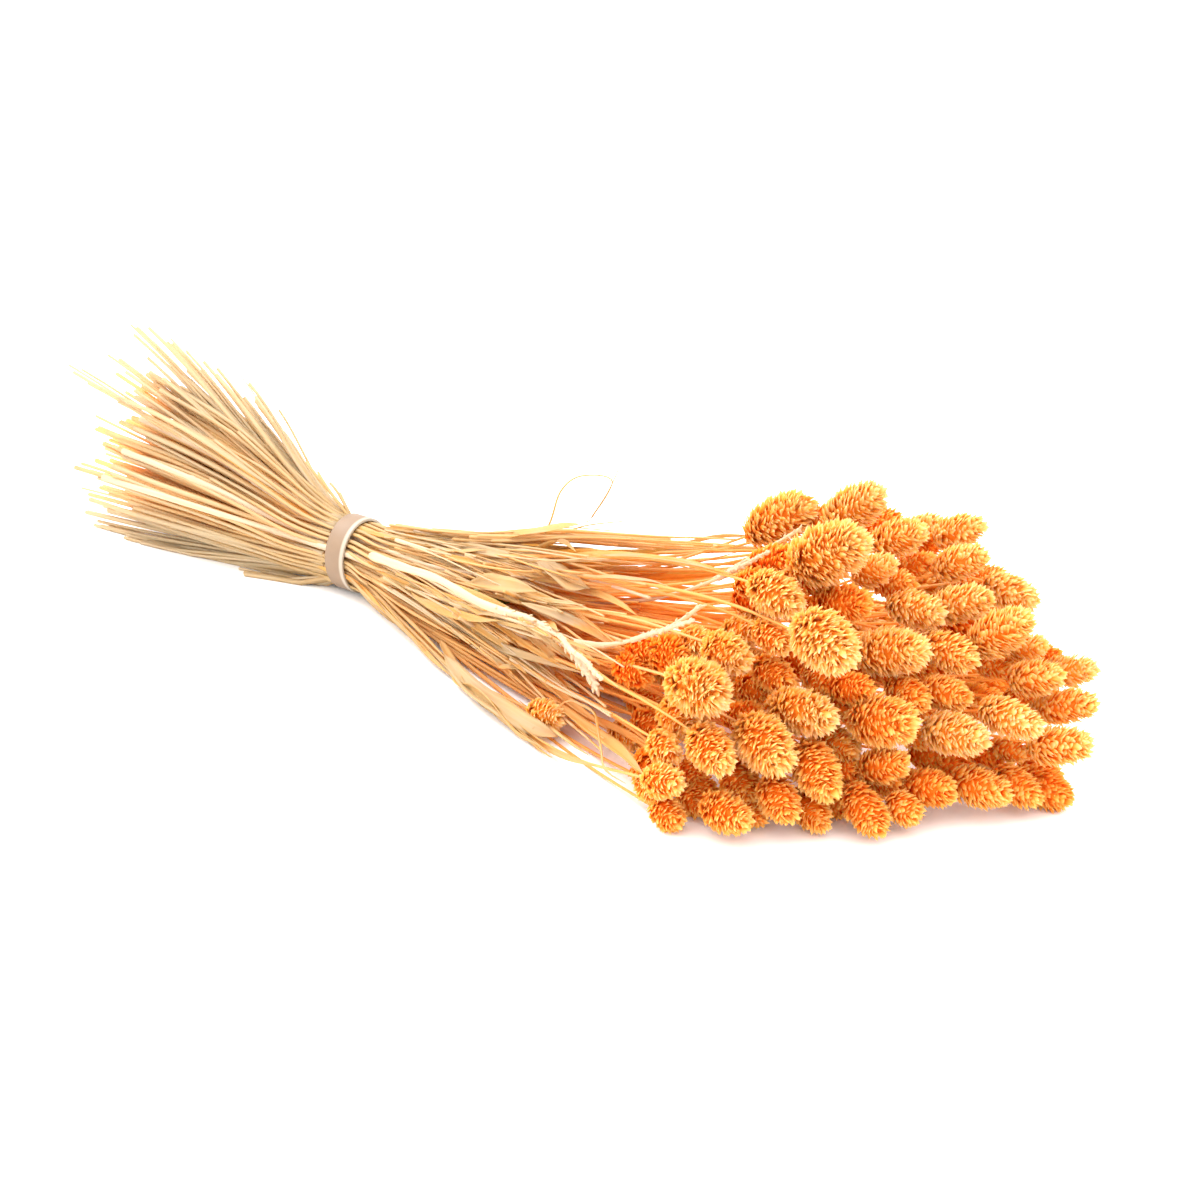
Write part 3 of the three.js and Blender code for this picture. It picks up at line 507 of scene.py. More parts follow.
def settle_stems(plants, paths, partner):
    """Bend the stems clear of each other, of the heads and of the floor."""
    rule = STEM_SETTLING
    count = len(paths)
    lengths = np.array([len(path) for path in paths])
    most = lengths.max()
    points = np.zeros((count, most, 3))
    for i, path in enumerate(paths):
        points[i, :len(path)] = path
    start = points.copy()
    held = [STATIONS.index(-BAND_PASS), STATIONS.index(BAND_PASS)]
    index = np.arange(most)
    free = (index[None] < lengths[:, None]) & ~np.isin(index, held)[None]
    last = lengths - 1
    neck_play = rule["neck_play"] * np.array([p["radius"] for p in plants])
    planes = make_planes(plants, paths, partner)
    for turn in range(rule["rounds"]):
        push = np.zeros((count, most, 2))
        weight = np.zeros((count, most))
        for owner, low, share, radius, discs, skip, own in planes:
            a = points[owner, low, 1:]
            b = points[owner, low + 1, 1:]
            p = a + (b - a) * share[:, None]
            reach = radius[:, None] + radius[None] + rule["clearance"]
            shift = pushed(p[:, None] - p[None], reach, skip, 0.5)[0]
            reach = radius[:, None] + discs[None, :, 3] + rule["clearance"]
            shift += pushed(p[:, None] - discs[None, :, 1:3], reach, own, 1)[0]
            shift[:, 1] += np.maximum(radius - p[:, 1], 0)
            moved = (shift != 0).any(1)
            for k, part in ((low, 1 - share), (low + 1, share)):
                np.add.at(push, (owner, k), shift * part[:, None])
                np.add.at(weight, (owner, k), np.where(moved, part, 0))
        step = push * (rule["push"] / np.maximum(weight, 0.5))[:, :, None]
        points[:, :, 1:] += np.where(free[:, :, None], step, 0)
        offset = points[:, :, 1:] - start[:, :, 1:]
        settled = offset.copy()
        for k in range(1, most - 1):
            inner = k < last
            x0, x1, x2 = start[:, k - 1, 0], start[:, k, 0], start[:, k + 1, 0]
            f = np.where(inner, (x1 - x0) / np.where(inner, x2 - x0, 1), 0)[:, None]
            even = offset[:, k - 1] * (1 - f) + offset[:, k + 1] * f
            part = rule["smooth"] * (even - offset[:, k])
            settled[:, k] += np.where(inner[:, None], part, 0)
        tip = settled[np.arange(count), last]
        length = np.sqrt((tip ** 2).sum(1)) + 1e-9
        settled[np.arange(count), last] = tip * np.minimum(1, neck_play / length)[:, None]
        moved = start[:, :, 1:] + rule["fade"] * settled
        points[:, :, 1:] = np.where(free[:, :, None], moved, points[:, :, 1:])
    return [points[i, :lengths[i]] for i in range(count)]


# Cut ends, leaves and the bodies that the plants belong to

def cut_stem(path, cut):
    """The path with its first point moved along itself to the cut."""
    path = path.copy()
    slope = (path[0] - path[1]) / (path[0][0] - path[1][0])
    path[0] = path[0] + slope * (cut - path[0][0])
    path[0][2] = max(path[0][2], STEM_RADIUS)
    return path


def point_at(path, x):
    """The point of a path at x, on its straight stretches."""
    k, share = stretch_at(path, x)
    return path[k] + share * (path[k + 1] - path[k])


def bundle_at(paths, x):
    """Middle of the bundle at x, and how far it reaches at an angle round that middle."""
    points = np.array([point_at(path, x) for path in paths if path[-1][0] > x])[:, 1:]
    middle = points.mean(0)

    def reach(angle):
        out = around(angle)
        along = (points - middle) @ out
        across = np.abs((points - middle) @ vec(-out[1], out[0]))
        return max(along[across < BUNDLE_SIDE].max(initial=0), 0)

    return middle, reach


def leaf_owner(start, end, at, paths):
    """The stem that a leaf grows from: the outermost one at its angle."""
    angle = math.radians(at)
    middle, reach = bundle_at(paths, start)
    best = (-math.inf, -1)
    for i, path in enumerate(paths):
        if path[-1][0] >= end - 20:
            d = point_at(path, start)[1:] - middle
            across = abs(d[1] * math.cos(angle) - d[0] * math.sin(angle))
            along = d[0] * math.cos(angle) + d[1] * math.sin(angle) - 0.6 * across
            best = max(best, (along, i))
    return best[1]


def leaf_rows(leaf, paths):
    """Middle, outward direction and width of a leaf at each of its rows."""
    start, end, at, turn, wide, lift = leaf
    owner = leaf_owner(start, end, at, paths)
    root = point_at(paths[owner], start)
    shares = [k / LEAF_STEPS for k in range(LEAF_STEPS + 1)]
    angles = [math.radians(at + turn * s * s) for s in shares]
    places = [start + (end - start) * s for s in shares]
    bundles = [bundle_at(paths, x) for x in places]
    reaches = [reach(angle) for (middle, reach), angle in zip(bundles, angles)]
    rows = []
    for k, s in enumerate(shares):
        before = reaches[max(k - 1, 0)]
        after = reaches[min(k + 1, LEAF_STEPS)]
        even = (before + reaches[k] + after) / 3
        clear = even + STEM_RADIUS + LEAF_THICK + lift + LEAF_CURL * s * s
        normal = vec(0, *around(angles[k]))
        centre = vec(places[k], *bundles[k][0]) + clear * normal
        hold = max(0, 1 - s * (LEAF_STEPS - 1))
        centre = centre + (vec(places[k], *root[1:]) - centre) * hold
        centre[2] = max(centre[2], LEAF_THICK)
        across = wide * max(LEAF_TIP, math.sin(math.pi * s ** 0.75) ** 0.8)
        rows.append((s, centre, normal, across))
    return owner, rows


BAND_MIDDLE = vec(0, BAND_HEIGHT)

plants = make_plants()
settle_heads(plants)
slots, partner = settle_slots(plants)
stem_draw = seeded(SEED + 1)
paths = [stem_path(plant, slot, stem_draw) for plant, slot in zip(plants, slots)]
paths = settle_stems(plants, paths, partner)
for plant, slot, path in zip(plants, slots, paths):
    stray = slot[1] > STRAY_HEIGHT and stem_draw(0, 1) < STRAY_SHARE
    cut = CUT_END - stem_draw(-CUT_UNEVEN, CUT_UNEVEN) - (STRAY_REACH if stray else 0)
    plant.update(path=cut_stem(path, cut), stray=stray)


# The turn between neighbours in a spiral
GOLDEN = math.pi * (3 - math.sqrt(5))

# Scales: the area of the head for each, their width, the bow and length as shares, how much
# they lean towards the tip at shares of the head, and the rows of one scale, each with its
# place along it, its width and the height of its keel
SCALE_AREA = 2.9
SCALE_WIDE = 2.35
SCALE_FLARE = 0.07
SCALE_LENGTH = 0.72
SCALE_LENGTHS = (3.6, 6.5)
SCALE_LEAN = ((0, 0.15, 0.5, 0.85, 1), (2.4, 1.7, 1.0, 0.6, 0.2))
SCALE_ROWS = ((0, 0.7, 0.16), (0.45, 1, 0.22), (0.74, 0.62, 0.18))

# The core under the scales, and the tones of heads: outer ones, and those deeper inside,
# lowered as painted shade; how far painted shade lowers heads under others, and where light comes from
HEAD_CORE = 0.68
CORE_GRAIN = 0.3
CORE_ROWS = 9
CORE_SIDES = 14
HEAD_TONES = (0.4, 1.3)
INNER_SHADED_TONES = (-1.7, -0.4)
PAINTED_SHADE_DEPTH = 1.5
LIGHT_WAY = unit(vec(-0.25, -0.1, 1))
TIP_MISS = 1.2

# Stalks: sides, how deep the cut end is hollow, joints, and the sheath above each joint
STALK_SIDES = 7
STRAW_SIDES = 6
THREAD_SIDES = 5
HOLLOW = 2.5
STALK_STEP = 11
STALK_FULL = 0.92
STALK_CUT_FULL = 1.05
STRAY_FULL = 0.42
JOINT_WIDE = 1.28
JOINT_HALF = 1.6
JOINT_GAPS = (95, 150)
SHEATH_WIDE = 1.16
SHEATH_LENGTHS = (45, 85)

# Stripped spikes: the shade, the stalk's extra thickness, and the stubs of lost scales
PALE = -3
SPIKE_STALK = 1.4
SPIKE_RADIUS = 1.05
STUBS = 34

# Leaves: steps along and across, the thickness, and the share of its width that an arched
# one keeps
BLADE_STEPS = 22
BLADE_ACROSS = 4
BLADE_THICK = 0.22
ARCHED_WIDE = 0.4

# How many loose parts there are, and the seed of the first of each
SHEATHS, SHEATH_SEED = 60, 20
STRAWS, STRAW_SEED = 150, 200
COLLAR_STRAWS, COLLAR_SEED = 30, 360
STRIPS, STRIP_SEED = 110, 400
CURL_SEED = 600
BLADE_SEED, OLIVE_SEED = 700, 720
INNER_SEED = 800
BRANCH_SEED, BRANCH_SEED_STEP, RISING_SEED = 900, 60, 1260
TOP_STRAWS, TOP_SEED = 52, 1300
WISP_SEED, WISP_SEED_STEP = 1400, 10
MORE_WISPS, WISPS_LEFT = 3, 270
STRANDS, STRAND_SEED = 110, 2000
NARROW_LEAVES, NARROW_SEED, NARROW_WIDE = 34, 2200, (1.6, 4)

# Small heads between the others: tries, sizes, where they start, how far they may press
# into others, the new share of the view that each covers, how far back they are set, the
# cover of a head, the left limit in view and the gap that counts as inside
FILL_TRIES = 8000
FILL_RADII = (5.2, 7.6)
FILL_FIRST = 180
FILL_OVERLAP = 0.5
FILL_GAIN = 0.2
FILL_BACK = (5, 16)
FILL_REACH = 0.95
FILL_LEFT = 650
FILL_CLOSE = 7
GAP_ACROSS, GAP_DOWN = np.meshgrid(np.arange(560, 1110, 4.0), np.arange(460, 860, 4.0))

# Leaves that lie on the near side: the width, shade and lift, and where each is seen
SEEN_BLADES = [
    (6.5, 0.15, 2.5, [(492, 534), (515, 548), (540, 561), (566, 575), (590, 589)]),
    (6, 0.2, 1.5, [(470, 573), (490, 580), (512, 585), (536, 590)]),
    (4.5, 0.5, 1.5, [(518, 600), (532, 609), (545, 619), (558, 631)]),
    (3.5, 0.3, 1, [(498, 667), (525, 667), (548, 671), (574, 679)]),
    (8, 0.05, 3, [(444, 655), (474, 690), (506, 712), (534, 728), (558, 737)]),
    (7, 0.05, 3, [(476, 588), (500, 583), (520, 586), (537, 590)]),
    (7, 0.0, 4, [(538, 560), (556, 572), (572, 584), (588, 588)]),
    (4.5, 0.55, 1.2, [(560, 706), (588, 727), (618, 749), (644, 775)]),
    (5, 0.6, 2, [(486, 541), (515, 535), (548, 529), (580, 524)]),
    (4, 0.45, 1, [(440, 640), (452, 662), (458, 680), (470, 692)]),
    (3.5, 0.1, 1.5, [(410, 560), (445, 578), (470, 590), (500, 603)]),
]
GREEN_BLADE = (5, 0.5, 6, [(470, 592), (484, 596), (497, 599), (510, 603)])

# Pale stripped branches on the bundle: the thickness, the lift, from where it has barbs and
# where it is seen
BRANCHES = [
    (1.7, 4.5, 0.45, [(372, 556), (400, 566), (440, 580), (483, 604), (530, 620), (558, 637),
                      (579, 661), (597, 688)]),
    (1.1, 2.5, 0.2, [(574, 642), (606, 645), (640, 638), (672, 626), (701, 606)]),
    (1.0, 1.5, 2, [(380, 548), (430, 566), (480, 575), (530, 585)]),
    (0.8, 1.5, 2, [(396, 540), (450, 556), (520, 566), (590, 580), (650, 598)]),
]

# One that rises out of the bundle, on an upright wall along it
RISING_WALL = -6
RISING_BRANCH = (0.9, 0, 0.3, [(690, 592), (716, 578), (744, 562), (772, 546), (800, 529)])

# The bundle in view, from its top edge to its bottom edge, at the band and at the heads
BUNDLE_VIEW = ((388, 526), (640, 560), (384, 588), (590, 745))

# Ends of loose straws at the cut end: the wall they reach, their thickness, where they are seen
CUT_WISPS = [
    (4, 0.5, (131, 325)), (10, 0.45, (171, 339)), (6, 0.55, (108, 355)), (-4, 0.5, (69, 365)),
    (16, 0.3, (241, 376)), (2, 0.7, (148, 358)), (8, 0.9, (176, 368)), (12, 0.8, (204, 362)),
    (14, 0.8, (222, 384)), (18, 0.8, (236, 392)), (20, 0.7, (262, 402)), (0, 0.9, (150, 372)),
    (-6, 0.8, (126, 372)), (6, 0.9, (190, 380)), (16, 0.8, (246, 408)), (18, 0.6, (284, 432)),
    (-8, 0.6, (96, 416)), (-12, 0.5, (90, 470)), (-14, 0.5, (82, 488)),
    (-18, 0.8, (104, 506)), (-20, 0.7, (98, 521)), (-22, 0.8, (112, 532)), (-20, 0.8, (140, 541)),
    (-22, 0.7, (128, 548)), (-18, 0.6, (240, 580)), (-14, 0.5, (262, 588)), (12, 0.9, (212, 392)),
    (6, 0.6, (318, 472)), (7, 0.6, (330, 483)), (6, 0.6, (340, 493)), (8, 0.6, (306, 462)),
    (4, 0.9, (166, 384)), (-10, 0.9, (110, 440)), (10, 0.8, (228, 410)), (0, 0.8, (140, 396)),
]

# The top edge of the bundle in view, from the band to the heads, and how deep it reaches
TOP_EDGE = [(388, 523), (436, 530), (486, 533), (560, 530), (640, 536), (735, 541)]
TOP_DEEP = 11

# Fine curls above the bundle: the wall that each is on, its radius and where it is seen
CURLS = [
    (2, 0.5, [(540, 545), (551, 520), (561, 491), (581, 476), (612, 481), (592, 517), (584, 522)]),
    (2, 0.4, [(592, 517), (608, 492), (620, 466)]),
    (6, 0.45, [(560, 536), (584, 526), (625, 521)]),
]

# Where the middle of the band stands, and how far fine parts may reach past the solids' ends
band_low, band_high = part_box("band")
ORIGIN = vec((band_low.x + band_high.x) / 2, (band_low.y + band_high.y) / 2, band_low.z)
FAR_LOW = (CAD_BOX[0][0] - ORIGIN[0]) / MM - 8
SIDE_LOW = (CAD_BOX[0][1] - ORIGIN[1]) / MM + 1
SIDE_HIGH = (CAD_BOX[1][1] - ORIGIN[1]) / MM - 1
ABOVE_FLOOR = 0.02

# The rows and the turns in which the bundle is measured
ROWS = (-130, 300)
ROW_STEP = 10
TURNS = 24


def measure_bundle():
    """How far the bundle reaches from its middle, in rows along it and all round."""
    rows = np.arange(*ROWS, float(ROW_STEP))
    middles, reaches = [], []
    angles = np.arange(TURNS) * math.pi / (TURNS // 2)
    for x in rows:
        middle, reach = bundle_at(paths, x)
        middles.append(middle)
        reaches.append([reach(angle) for angle in angles])
    return rows, np.array(middles), np.array(reaches)


def deepness(points):
    """0 on the outside of the bundle, 1 at its middle."""
    rows, middles, reaches = BUNDLE
    row = np.clip((points[:, 0] - rows[0]) / ROW_STEP, 0, len(rows) - 1.001)
    k = row.astype(int)
    f = (row - k)[:, None]
    middle = middles[k] * (1 - f) + middles[k + 1] * f
    d = points[:, 1:] - middle
    turn = np.round(np.arctan2(d[:, 1], d[:, 0]) * (TURNS // 2) / math.pi).astype(int) % TURNS
    reach = reaches[k, turn] * (1 - f[:, 0]) + reaches[k + 1, turn] * f[:, 0]
    return np.clip(1 - np.hypot(d[:, 0], d[:, 1]) / np.maximum(reach, 1), 0, 1)


BUNDLE = measure_bundle()


class Skin:
    """Triangles of one piece, in millimetres about the band, with what its material reads:
    share, from root 0 to tip 1; tone, a random shade, lowered on heads as painted shade; deep, how far
    inside the bundle it lies, which the straw and leaf materials paint as shade; grain, the way its fibres
    run."""

    def __init__(self):
        self.points, self.faces, self.share, self.tone, self.grain = [], [], [], [], []
        self.count = 0

    def add(self, points, faces, share, tone, grain):
        """More triangles, with a value for each point or one for all."""
        points = np.asarray(points, float).reshape(-1, 3)
        number = len(points)
        self.points.append(points)
        self.faces.append(np.asarray(faces, int).reshape(-1, 3) + self.count)
        self.share.append(np.broadcast_to(np.asarray(share, float), number))
        self.tone.append(np.broadcast_to(np.asarray(tone, float), number))
        self.grain.append(np.broadcast_to(np.asarray(grain, float), (number, 3)))
        self.count += number

    def build(self, name, material, nodes=(), slot="dried_straw", smooth=True):
        """The finished piece, in place of the solids of those nodes."""
        points = np.concatenate(self.points)
        points[:, 2] = np.maximum(points[:, 2], ABOVE_FLOOR)
        faces = np.concatenate(self.faces).astype(np.int32)
        mesh = bpy.data.meshes.new(name)
        mesh.vertices.add(len(points))
        mesh.vertices.foreach_set("co", (points * MM + ORIGIN).astype(np.float32).ravel())
        mesh.loops.add(faces.size)
        mesh.loops.foreach_set("vertex_index", faces.ravel())
        mesh.polygons.add(len(faces))
        mesh.polygons.foreach_set("loop_start", np.arange(0, faces.size, 3, dtype=np.int32))
        mesh.polygons.foreach_set("use_smooth", np.full(len(faces), smooth))
        marks = (("FLOAT", "share", np.concatenate(self.share)),
                 ("FLOAT", "tone", np.concatenate(self.tone)),
                 ("FLOAT", "deep", deepness(points)),
                 ("FLOAT_VECTOR", "grain", np.concatenate(self.grain)))
        for kind, label, values in marks:
            field = "vector" if kind == "FLOAT_VECTOR" else "value"
            layer = mesh.attributes.new(label, kind, "POINT")
            layer.data.foreach_set(field, values.astype(np.float32).ravel())
        mesh.update(calc_edges=True)
        mesh.materials.append(material)
        piece = bpy.data.objects.new(name, mesh)
        bpy.context.scene.collection.objects.link(piece)
        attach(piece, "root")
        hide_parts(*nodes)


def ring_faces(rings, sides):
    """Triangles between rings of points, one after the other."""
    k = np.arange(rings - 1)[:, None] * sides
    i = np.arange(sides)[None]
    a = k + i
    b = k + (i + 1) % sides
    return np.stack([a, b, b + sides, a, b + sides, a + sides], 2).reshape(-1, 3)


def fan_faces(start, sides, tip, turned_round):
    """Triangles from a ring of points to one tip."""
    i = start + np.arange(sides)
    j = start + (np.arange(sides) + 1) % sides
    order = [j, i] if turned_round else [i, j]
    return np.stack([*order, np.full(sides, tip)], 1)


def closed_faces(rings, sides, outward=True):
    """Triangles of a row of rings with a fan at both ends, to two points that come last."""
    body = ring_faces(rings, sides)
    return np.concatenate([
        body if outward else body[:, ::-1],
        fan_faces(0, sides, rings * sides, outward),
        fan_faces((rings - 1) * sides, sides, rings * sides + 1, not outward),
    ])


def crosswise(axis):
    """Two directions square to an axis, the first of them level."""
    side = unit(np.cross(vec(0, 0, 1), axis))
    return side, np.cross(axis, side)


# Heads in full

def head_profile(plant, polar):
    """Distance along the axis and out from it, at an angle from the base of a head."""
    along = -HEAD_TIP * plant["half"] * np.cos(polar)
    out = plant["radius"] * np.sin(polar) ** 0.8 * (1 + 0.08 * np.cos(polar))
    return along, out


def head_area(plant):
    """The outside area of an egg-shaped head, nearly."""
    a = plant["half"] * plant["radius"]
    b = plant["radius"] ** 2
    return 4 * math.pi * ((2 * a ** 1.6 + b ** 1.6) / 3) ** (1 / 1.6)


def painted_shade_under_heads(plant):
    """How much of a head lies under other heads, from 0 to 1, which is painted on it as shade."""
    total = 0
    for other in plants:
        d = other["middle"] - plant["middle"]
        above = d @ LIGHT_WAY
        if above > 3:
            aside = np.linalg.norm(d - above * LIGHT_WAY)
            total += math.exp(-(aside / (1.3 * other["radius"])) ** 2)
    return min(total, 1.0)


def add_core(skin, plant, tone):
    """The plain body inside a head, on which the scales stand."""
    side, up = crosswise(plant["axis"])
    points = []
    for k in range(CORE_ROWS):
        along, out = head_profile(plant, math.pi * (k + 0.5) / CORE_ROWS)
        for i in range(CORE_SIDES):
            angle = 2 * math.pi * i / CORE_SIDES
            points.append(plant["middle"] + HEAD_CORE * (
                along * plant["axis"] + out * (math.cos(angle) * side + math.sin(angle) * up)))
    for end in (-1, 1):
        points.append(plant["middle"] + end * HEAD_CORE * HEAD_TIP * plant["half"] * plant["axis"])
    points = np.array(points)
    skin.add(points, closed_faces(CORE_ROWS, CORE_SIDES), 0, tone, points * CORE_GRAIN)


def add_scales(skin, plant, tone, rng):
    """Pointed, keeled scales in a spiral round the head, from its base to its tip."""
    axis = plant["axis"]
    count = int(head_area(plant) / SCALE_AREA)
    k = np.arange(count)
    level = np.clip((k + 0.5 + rng.uniform(-0.4, 0.4, count)) / count, 0.002, 0.998)
    polar = np.arccos(1 - 2 * level)
    angle = GOLDEN * k + rng.uniform(-0.16, 0.16, count)
    side, up = crosswise(axis)
    radial = np.cos(angle)[:, None] * side + np.sin(angle)[:, None] * up
    around = np.cross(axis, radial)
    along, out = head_profile(plant, polar)
    ahead_along, ahead_out = head_profile(plant, np.minimum(polar + 0.02, math.pi))
    run_along, run_out = ahead_along - along, ahead_out - out
    run = np.hypot(run_along, run_out)
    surface = (run_along / run)[:, None] * axis + (run_out / run)[:, None] * radial
    normal = (-run_out / run)[:, None] * axis + (run_along / run)[:, None] * radial
    lean = np.interp(level, *SCALE_LEAN) + rng.uniform(-0.35, 0.35, count)
    way = normal + lean[:, None] * surface + rng.uniform(-0.3, 0.3, count)[:, None] * around
    way = unit_rows(way)
    reach = 1.02 + rng.uniform(-0.1, 0.09, count)
    tip = reach[:, None] * (along[:, None] * axis + out[:, None] * radial)
    length = np.clip(SCALE_LENGTH * plant["radius"], *SCALE_LENGTHS) * rng.uniform(0.9, 1.1, count)
    root = tip - length[:, None] * way
    line = tip - root
    twist = rng.uniform(-0.6, 0.6, count)
    across = around - (around * way).sum(1)[:, None] * way
    across = unit_rows(across)
    outward = np.cross(across, way)
    across, outward = (np.cos(twist)[:, None] * across + np.sin(twist)[:, None] * outward,
                       np.cos(twist)[:, None] * outward - np.sin(twist)[:, None] * across)
    wide = SCALE_WIDE * rng.uniform(0.7, 1.2, count)
    points, share, grain = [], [], []
    for s, width, keel in SCALE_ROWS:
        spine = root + s * line - (SCALE_FLARE * math.sin(math.pi * s) * length)[:, None] * outward
        half = (0.5 * width * wide)[:, None] * across
        points += [spine - half, spine + (keel * wide)[:, None] * outward, spine + half]
        share += [np.full(count, s)] * 3
        grain += [np.stack([s * length, edge * wide, tone * 50 + k * 1.7], 1) for edge in (-0.5, 0, 0.5)]
    points.append(tip)
    share.append(np.ones(count))
    grain.append(np.stack([length, 0 * wide, tone * 50 + k * 1.7], 1))
    rows = len(SCALE_ROWS)
    pattern = np.concatenate([
        ring_faces(rows, 3),
        fan_faces(3 * rows - 3, 3, 3 * rows, False),
        [[0, 2, 1]],
    ])
    each = 3 * rows + 1
    faces = (pattern[None] + (k * each)[:, None, None]).reshape(-1, 3)
    points = plant["middle"] + np.stack(points, 1).reshape(-1, 3)
    shade = tone + rng.uniform(-0.3, 0.3, count)
    skin.add(points, faces, np.stack(share, 1).ravel(), np.repeat(shade, each),
             np.stack(grain, 1).reshape(-1, 3))


def add_head(skin, plant, tone, rng):
    """A whole head."""
    add_core(skin, plant, tone)
    add_scales(skin, plant, tone, rng)


# Curves

def way_along(points):
    """The direction of a run of points at each of them."""
    return unit_rows(np.gradient(points, axis=0))


def curve_at(knots, at):
    """Values at places among the knots, on a smooth curve through them."""
    k = np.minimum(at.astype(int), len(knots) - 2)
    before, after = np.maximum(k - 1, 0), np.minimum(k + 2, len(knots) - 1)
    return hermite((at - k)[:, None], knots[k], 0.5 * (knots[k + 1] - knots[before]), knots[k + 1],
                   0.5 * (knots[after] - knots[k]))


def curve_through(knots):
    """Eight points to a knot, on a smooth curve."""
    return curve_at(knots, np.linspace(0, len(knots) - 1, 8 * len(knots)))


def smooth_path(path, places):
    """Points at the given places along x, on a curve through the points of the path."""
    x = path[:, 0]
    slope = np.diff(path[:, 1:], axis=0) / np.diff(x)[:, None]
    tangent = np.empty((len(path), 2))
    tangent[0], tangent[-1] = slope[0], slope[-1]
    weight = (np.diff(x)[1:] / (x[2:] - x[:-2]))[:, None]
    tangent[1:-1] = slope[:-1] * weight + slope[1:] * (1 - weight)
    k = np.clip(np.searchsorted(x, places, side="right") - 1, 0, len(path) - 2)
    span = (x[k + 1] - x[k])[:, None]
    s = (places - x[k])[:, None] / span
    yz = hermite(s, path[k, 1:], tangent[k] * span, path[k + 1, 1:], tangent[k + 1] * span)
    return np.column_stack([places, yz])


# Stalks in full

def stalk_shape(plant, rng):
    """Places along a stalk and its radius there: joints, and the sheath above each joint."""
    path = plant["path"]
    first, last = path[0][0], path[-1][0]
    places = list(np.arange(first, last, STALK_STEP)[1:]) + [last]
    sheaths = []
    x = rng.uniform(first + 15, first + 110)
    while x < last - 90:
        end = x + rng.uniform(*SHEATH_LENGTHS)
        sheaths.append((x, end))
        places += [x + share * JOINT_HALF for share in (-1, -0.5, 0, 0.5, 1)] + [end - 0.3, end + 0.3]
        x += rng.uniform(*JOINT_GAPS)
    places = np.unique(np.clip(places, first + 0.5, last))
    full = STALK_CUT_FULL + (STALK_FULL - STALK_CUT_FULL) * np.clip((places - first) / 110, 0, 1)
    radius = np.array([stem_radius(x, last) for x in places]) * full
    if plant["stray"]:
        radius *= np.clip(STRAY_FULL + (places - first) / 90, STRAY_FULL, 1)
    for start, end in sheaths:
        inside = (places > start) & (places < end)
        radius = np.where(inside, radius * SHEATH_WIDE, radius)
    for x, end in sheaths:
        radius *= 1 + (JOINT_WIDE - 1) * np.clip(1 - np.abs(places - x) / JOINT_HALF, 0, 1)
    return places, radius


def add_tube(skin, points, radius, tone, sides, seed, hollow=0):
    """A round stalk along points, closed at both ends, and hollow at its first end."""
    way = way_along(points)
    side = unit_rows(np.cross(way, vec(0, 0, 1)))
    up = np.cross(side, way)
    angle = 2 * math.pi * np.arange(sides) / sides
    ring = np.cos(angle)[None, :, None] * side[:, None] + np.sin(angle)[None, :, None] * up[:, None]
    body = points[:, None] + radius[:, None, None] * ring
    length = np.concatenate([[0], np.cumsum(np.linalg.norm(np.diff(points, axis=0), axis=1))])
    grain = np.stack(np.broadcast_arrays(length[:, None], np.cos(angle) + 5 * seed, np.sin(angle)), 2)
    if hollow:
        inner = points[0] + 0.6 * radius[0] * ring[0]
        body = np.concatenate([[inner + hollow * way[0], inner], body])
        grain = np.concatenate([grain[:1], grain[:1], grain])
    add_closed(skin, body, grain, 0, tone, False)


def add_closed(skin, rings, grain, share, tone, outward=True):
    """Rings of points with a middle point at each end."""
    points = np.concatenate([rings.reshape(-1, 3), rings[0].mean(0)[None], rings[-1].mean(0)[None]])
    flat = grain.reshape(-1, 3)
    skin.add(points, closed_faces(*rings.shape[:2], outward), share, tone,
             np.concatenate([flat, flat[:1], grain[-1, :1] if outward else flat[-1:]]))


def add_stalk(skin, plant, rng, seed):
    """A whole stalk, from its cut end into its head."""
    places, radius = stalk_shape(plant, rng)
    points = smooth_path(plant["path"], places)
    if plant["stripped"]:
        radius, tone = radius * SPIKE_STALK, PALE
    else:
        inside = plant["middle"] - 0.55 * plant["half"] * plant["axis"]
        points = np.concatenate([points, inside[None]])
        radius, tone = np.append(radius, radius[-1]), rng.uniform(0, 1)
    add_tube(skin, points, radius, tone, STALK_SIDES, seed, HOLLOW)


def add_rachis(skin, plant, rng, seed):
    """A stripped spike: a pale axis that sways a little, with a stub for each lost scale."""
    axis, half, middle = plant["axis"], plant["half"], plant["middle"]
    side, up = crosswise(axis)
    s = np.linspace(-0.9, 1, 30)
    sway = 0.5 * np.sin(6 * s)
    points = middle + (half * s)[:, None] * axis + sway[:, None] * side
    radius = SPIKE_RADIUS * (1 - 0.45 * (s + 0.9) / 1.9)
    add_tube(skin, points, radius, PALE, STRAW_SIDES, seed)
    for k in range(STUBS):
        t = -0.86 + 1.86 * (k + 0.5) / STUBS
        angle = GOLDEN * k
        out = math.cos(angle) * side + math.sin(angle) * up
        foot = middle + half * t * axis + 0.5 * math.sin(6 * t) * side
        reach = 2.0 * (1 - 0.35 * (t + 0.9) / 1.9) * rng.uniform(0.75, 1.15)
        line = unit(out + 1.1 * axis) * reach
        stub = foot + vec(0, 0.5, 0.8, 1)[:, None] * line
        add_tube(skin, stub, vec(0.55, 0.62, 0.45, 0.12), PALE, THREAD_SIDES, seed + k)


# Leaves in full

